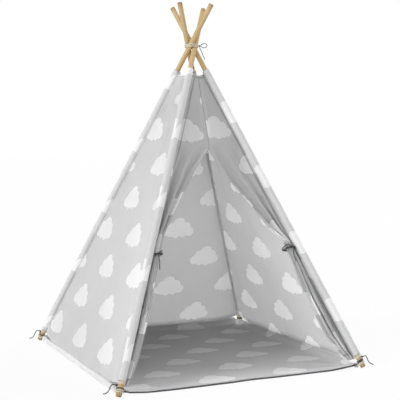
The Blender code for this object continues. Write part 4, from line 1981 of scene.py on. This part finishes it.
@dataclass
class FootTie:
    """The pale loop from the mat's corner round one pole, and the dark cord tied above it."""

    pole: Pole
    mat: Mat
    knot: Knot
    materials: Materials
    turns: float = 1.5
    pitch: float = 0.0048
    height: float = 0.036
    loop_height: float = 0.022
    loop_overlap: float = 0.009
    loop_width: float = 0.016
    wraps: tuple[tuple[float, float], ...] = ((0.0500, 3.0), (0.0258, 1.0))
    wrap_pitch: float = 0.0042
    wrap_wobble: float = 0.0004
    turn_points: int = 24
    tail: FreeCord = FreeCord(
        (
            (0.0048, 0.0000, 0.0000),
            (0.0120, 0.0010, 0.0030),
            (0.0180, 0.0025, 0.0010),
            (0.0230, 0.0040, -0.0070),
            (0.0270, 0.0050, -0.0170),
            (0.0330, 0.0050, -0.0260),
            (0.0420, 0.0040, -0.0325),
            (0.0520, 0.0010, -0.0345),
        ),
        "loose",
    )

    def _build_loop(self) -> None:
        """The loop from the mat's corner."""
        pole, stance, kind = self.pole, self.pole.stance, PALE_KIND
        rim = self.mat.corner_reach - self.loop_overlap
        tip_point = pole.foot.normalized() * rim
        tip_point.z = self.mat.top(tip_point.x, tip_point.y) + kind.diameter / 4
        tip = pole.matrix.inverted() @ tip_point
        radius = stance.pole_radius + stance.fit + kind.diameter / 2
        height = self.loop_height - stance.foot_to_crossing
        leg = [
            (self.loop_width / 2, tip.y, tip.z),
            (radius * 0.80, (tip.y + radius) / 2, (tip.z + height) / 2),
            (radius * 1.03, radius / 2, height),
        ]
        arc = [
            (radius * math.cos(turn), -radius * math.sin(turn), height)
            for turn in (math.pi * step / 10 for step in range(11))
        ]
        path = leg + arc + [(-x, y, z) for x, y, z in reversed(leg)]
        line = smooth_route([pole.matrix @ Vector(point) for point in path], 4)
        loop = kind.tube(pole.name + "_mat_loop_cord", line)
        dress(loop, pole.body, self.materials.pale, pole.name + "_mat_loop")

    def _build_wraps(self) -> None:
        """The loop's spare cord, wound round the pole above and below the dark tie."""
        pole, stance, kind = self.pole, self.pole.stance, PALE_KIND
        radius = stance.pole_radius + stance.fit + kind.diameter / 2
        for index, (start, turns) in enumerate(self.wraps):
            winding = []
            for step in range(round(turns * self.turn_points) + 1):
                share = step / self.turn_points
                angle = pole.tie_angle + math.pi + 2 * math.pi * share
                reach = radius + self.wrap_wobble * math.sin(5 * angle + 2.0 * index)
                rise = start + self.wrap_pitch * share
                winding.append(pole.around(reach, angle, rise))
            wrap = kind.tube(f"{pole.name}_mat_loop_wrap_{index}_cord", smooth_route(winding, 2))
            dress(wrap, pole.body, self.materials.pale, pole.name + "_mat_loop")

    def build(self) -> None:
        """Builds the loop, the winding, its knot and its end, and sets them on the pole."""
        self._build_loop()
        self._build_wraps()
        pole, stance, kind = self.pole, self.pole.stance, DARK_KIND
        radius = stance.pole_radius + 2 * stance.fit + kind.diameter / 2
        count = round(self.turns * self.turn_points)
        winding = []
        for step in range(count + 1):
            share = step / self.turn_points
            angle = pole.tie_angle + 2 * math.pi * (share - self.turns)
            rise = self.pitch * (share - self.turns / 2)
            winding.append(pole.around(radius, angle, self.height + rise))
        band = kind.tube(pole.name + "_foot_tie_cord", smooth_route(winding, 2))
        dress(band, pole.body, self.materials.dark, pole.name + "_foot_tie")

        reach = stance.pole_radius + 2 * stance.fit + self.knot.radius
        along = self.height + self.pitch * self.turns / 2 + kind.diameter / 2
        along += stance.fit + self.knot.radius
        facing = level(pole.tie_angle)
        centre = pole.at(facing.x * reach, facing.y * reach, along)
        out = pole.matrix.to_3x3() @ facing
        tied = self.knot.build(
            pole.name + "_foot_tie_knot_cord", kind, centre, pole.up.cross(out), out
        )
        dress(tied, pole.body, self.materials.dark, pole.name + "_foot_tie_knot")
        flat = Vector((out.x, out.y, 0.0)).normalized()
        axes = (flat, beside(flat), UP)
        name = pole.name + "_foot_tie_end"
        end = self.tail.build(name + "_cord", kind, self.knot, stance.fit, centre, axes)
        dress(end, pole.body, self.materials.dark, name)


@dataclass
class Lashing:
    """The cord wound round the crossing, its knot, the loop of its bow and its hanging end."""

    poles: tuple[Pole, ...]
    stance: Stance
    knot: Knot
    materials: Materials
    turns: int = 3
    pitch: float = 0.0048
    heading: float = math.radians(-30.0)
    turn_points: int = 24
    loop: FreeCord = FreeCord(
        (
            (0.0039, 0.0000, 0.0028),
            (0.0120, 0.0010, 0.0082),
            (0.0205, 0.0020, 0.0112),
            (0.0290, 0.0015, 0.0085),
            (0.0328, 0.0000, 0.0010),
            (0.0285, -0.0015, -0.0062),
            (0.0200, -0.0020, -0.0085),
            (0.0120, -0.0010, -0.0062),
            (0.0045, 0.0000, -0.0016),
        ),
        "loose",
        returns=True,
    )
    tail: FreeCord = FreeCord(
        (
            (0.0004, 0.0000, -0.0048),
            (0.0028, 0.0024, -0.0140),
            (0.0085, 0.0050, -0.0250),
            (0.0130, 0.0060, -0.0370),
            (0.0185, 0.0065, -0.0490),
            (0.0240, 0.0060, -0.0600),
        ),
        "hanging",
    )

    def _skin(self, heading: float, height: float, reach: float) -> Vector:
        """The point of the lashing that faces a heading.

        It lies on the hull of the poles, as they stand and as they fold.

        Args:
            heading: The direction from the middle, from +X.
            height: How far above the crossing.
            reach: How far the cord's middle lies from the poles' axes.

        Returns:
            The point.
        """
        out = level(heading)
        lean = self.stance.lean
        best, place = -math.inf, Vector()
        for pole in self.poles:
            for tilt in (lean, lean - self.stance.closed_angle):
                centre = pole.crossing + pole.towards * height * math.tan(tilt)
                long_way = out.dot(pole.towards) / math.cos(lean) ** 2
                short_way = out.dot(pole.across)
                spread = math.sqrt(long_way * out.dot(pole.towards) + short_way**2)
                support = centre.dot(out) + reach * spread
                if support > best:
                    best = support
                    offset = pole.towards * long_way + pole.across * short_way
                    place = centre + offset * (reach / spread)
        return Vector((place.x, place.y, self.stance.crossing_height + height))

    def build(self) -> None:
        """Builds the four pieces and sets them on the canopy's body."""
        stance, kind = self.stance, PALE_KIND
        reach = stance.pole_radius + 2 * stance.fit + kind.diameter / 2
        winding = []
        for step in range(self.turns * self.turn_points + 1):
            heading = self.heading + 2 * math.pi * (step + 0.5) / self.turn_points
            height = self.pitch * (step / self.turn_points - self.turns / 2)
            winding.append(self._skin(heading, height, reach))
        band = kind.tube("lashing_winding_cord", smooth_route(winding, 2))
        out = level(self.heading)
        seat = self.knot.seat(kind, self.pitch, stance.fit)
        centre = self._skin(self.heading, 0.0, reach) + out * seat
        axes = (out, beside(out), UP)
        tied = self.knot.build("lashing_knot_cord", kind, centre, beside(out), out)
        loop = self.loop.build("lashing_loop_cord", kind, self.knot, stance.fit, centre, axes)
        end = self.tail.build("lashing_end_cord", kind, self.knot, stance.fit, centre, axes)
        # The knot, loop and end take the pale cord painted grey, as painted shade.
        for piece, node, material in (
            (band, "lashing_winding", self.materials.pale),
            (tied, "lashing_knot", self.materials.soiled),
            (loop, "lashing_loop", self.materials.soiled),
            (end, "lashing_end", self.materials.soiled),
        ):
            dress(piece, "canopy", material, node)


# Studio


@dataclass(frozen=True)
class Camera:
    """The photograph's camera."""

    azimuth: float = math.radians(-24.96)
    elevation: float = math.radians(2.99)
    distance: float = 3.962
    target: tuple[float, float, float] = (0.0, 0.0, 0.702)
    lens: float = 78.66
    roll: float = math.radians(0.18)
    shift_x: float = 0.0223
    sensor: float = 36.0

    def build(self) -> None:
        """Places the camera and makes it the scene's own."""
        data = bpy.data.cameras.new("camera")
        data.lens = self.lens
        data.sensor_width = self.sensor
        data.shift_x = self.shift_x
        camera = add_object("camera", data)
        back = Vector(
            (
                math.sin(self.azimuth) * math.cos(self.elevation),
                -math.cos(self.azimuth) * math.cos(self.elevation),
                math.sin(self.elevation),
            )
        )
        aim = (-back).to_track_quat("-Z", "Y").to_matrix().to_4x4()
        camera.matrix_world = (
            Matrix.Translation(Vector(self.target) + back * self.distance)
            @ aim
            @ Matrix.Rotation(self.roll, 4, "Z")
        )
        bpy.context.scene.camera = camera


@dataclass(frozen=True)
class Lamp:
    """A far, broad lamp, whose light is even over the whole floor."""

    name: str
    heading: float
    height: float
    spread: float
    strength: float
    away: float = 5.0

    def build(self) -> None:
        """Hangs the lamp."""
        data = bpy.data.lights.new(self.name, "SUN")
        data.angle = math.radians(self.spread)
        data.energy = self.strength
        lamp = add_object(self.name, data)
        heading, height = math.radians(self.heading), math.radians(self.height)
        back = level(heading) * math.cos(height)
        back += UP * math.sin(height)
        lamp.location = back * self.away
        lamp.rotation_mode = "QUATERNION"
        lamp.rotation_quaternion = (-back).to_track_quat("-Z", "Y")


@dataclass(frozen=True)
class Studio:
    """A white floor and background, and soft light from the left."""

    world_strength: float = 0.52
    floor_size: float = 400.0
    floor_colour: Colour = (0.88, 0.88, 0.88)
    floor_glow_share: float = 0.92
    lamps: tuple[Lamp, ...] = (
        Lamp("key", 186.0, 28.0, 30.0, 1.50),
        Lamp("fill", 230.0, 10.0, 45.0, 0.85),
        Lamp("back", 9.0, 28.0, 50.0, 1.75),
    )

    @staticmethod
    def _seen(wiring: Wiring) -> NodeSocket:
        """1 for the rays that show the background: straight, mirrored or through glass."""
        path = wiring.node("ShaderNodeLightPath")
        seen = wiring.math(
            "MAXIMUM", path.outputs["Is Camera Ray"], path.outputs["Is Glossy Ray"]
        )
        return wiring.math("MAXIMUM", seen, path.outputs["Is Transmission Ray"])

    def _build_floor(self) -> None:
        """The floor, which shows as white and keeps the object's shadow."""
        half = self.floor_size / 2
        rows = [[Vector((x, y, 0.0)) for x in (-half, half)] for y in (-half, half)]
        floor = Surface(rows).build("studio_floor")
        finish = Finish("studio_floor")
        place = finish.node("ShaderNodeTexCoord").outputs["Object"]
        mottle = finish.noise(place, 3.0, 3.0)
        shade = finish.varied(mottle, 0.02, 0.99)
        finish.give("Base Color", finish.scaled(self.floor_colour, shade))
        finish.give("Roughness", 0.9)
        finish.give("Specular IOR Level", 0.0)
        white = finish.node("ShaderNodeEmission", {"Color": (1.0, 1.0, 1.0, 1.0), "Strength": 1.0})
        share = finish.times(self._seen(finish), self.floor_glow_share)
        blend = finish.node(
            "ShaderNodeMixShader",
            {0: share, 1: finish.shader.outputs[0], 2: white.outputs[0]},
        )
        finish.feed(finish.tree.nodes["Material Output"].inputs["Surface"], blend.outputs[0])
        floor.data.materials.append(finish.material)

    def _build_world(self) -> None:
        """The world: white where it shows, and plain soft light on the object."""
        world = bpy.data.worlds.new("studio")
        world.use_nodes = True
        bpy.context.scene.world = world
        wiring = Wiring(world.node_tree)
        background = world.node_tree.nodes["Background"]
        background.inputs["Color"].default_value = (1.0, 1.0, 1.0, 1.0)
        seen = self._seen(wiring)
        strength = wiring.varied(seen, 1.0 - self.world_strength, self.world_strength)
        wiring.feed(background.inputs["Strength"], strength)

    def build(self) -> None:
        """Sets up the floor, the world and the lamps."""
        self._build_floor()
        self._build_world()
        for lamp in self.lamps:
            lamp.build()
        bpy.context.scene.view_settings.view_transform = "Standard"


def build_canopy(poles: Sequence[Pole], materials: Materials) -> None:
    """Builds the sleeves, the walls, the door halves and their ties.

    Args:
        poles: The front left, front right, rear right and rear left poles.
        materials: The finished materials.
    """
    front_left, front_right, rear_right, rear_left = poles
    sleeve_cut, wall_cut, knot = SleeveCut(), WallCut(), Knot()
    shifts = ((0.02, 0.12), (0.026, 0.213), (0.01, 0.20), (0.03, 0.06))
    for index, (pole, shift) in enumerate(zip(poles, shifts)):
        Sleeve(pole, sleeve_cut, materials, shift, 30.0 + 3.0 * index).build()
    for name, first, second, shift, seed in (
        ("right_wall", front_right, rear_right, (0.150, 0.355), 11.0),
        ("rear_wall", rear_right, rear_left, (-0.085, 0.270), 17.0),
        ("left_wall", rear_left, front_left, (0.098, 0.288), 23.0),
    ):
        panel = Panel(name, first, second, wall_cut, sleeve_cut, shift, seed)
        for pole in (first, second):
            HalfWall(panel, pole, materials).build()
    for name, pole, other, table, seam_line, lean, shift in (
        ("left", front_left, front_right, LEFT_GATHER, 0.019, 0.026, (-0.090, 1.090)),
        ("right", front_right, front_left, RIGHT_GATHER, 0.008, 0.042, (0.050, 1.115)),
    ):
        panel = Panel(
            "front_wall", front_left, front_right, wall_cut, sleeve_cut, shift, 41.0
        )
        free_line = name == "left"
        door = DoorHalf(
            "door_" + name, panel, pole, other, table, seam_line, free_line, lean, materials
        )
        door.build()
        DoorTie("door_tie_" + name, door, knot, materials).build()


def main() -> None:
    """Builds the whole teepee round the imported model, and the studio that it stands in."""
    logging.basicConfig(level=logging.INFO, format="%(name)s: %(message)s")
    for leftover in list(bpy.data.objects):
        bpy.data.objects.remove(leftover)
    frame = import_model()
    Camera().build()
    Studio().build()
    materials = Materials.build()
    stance = Stance()
    left_tie, right_tie = math.radians(155.0), math.radians(-25.0)
    poles = (
        Pole(stance, "front_left", -1, -1, left_tie),
        Pole(stance, "front_right", 1, -1, right_tie),
        Pole(stance, "rear_right", 1, 1, right_tie),
        Pole(stance, "rear_left", -1, 1, left_tie),
    )
    mat = Mat(stance, materials)
    knot = Knot()
    Lashing(poles, stance, knot, materials).build()
    for index, pole in enumerate(poles):
        FootTie(pole, mat, knot, materials).build()
        PoleSet(pole, materials, 2.3 + 0.9 * index).build()
    build_canopy(poles, materials)
    mat.build()
    for name, node in frame["nodes"].items():
        if "ferrule" in name:
            node.data.materials.clear()
            node.data.materials.append(materials.steel)
            LOG.info("%s keeps its shape and gets its steel finish", name)


if __name__ == "__main__":
    main()
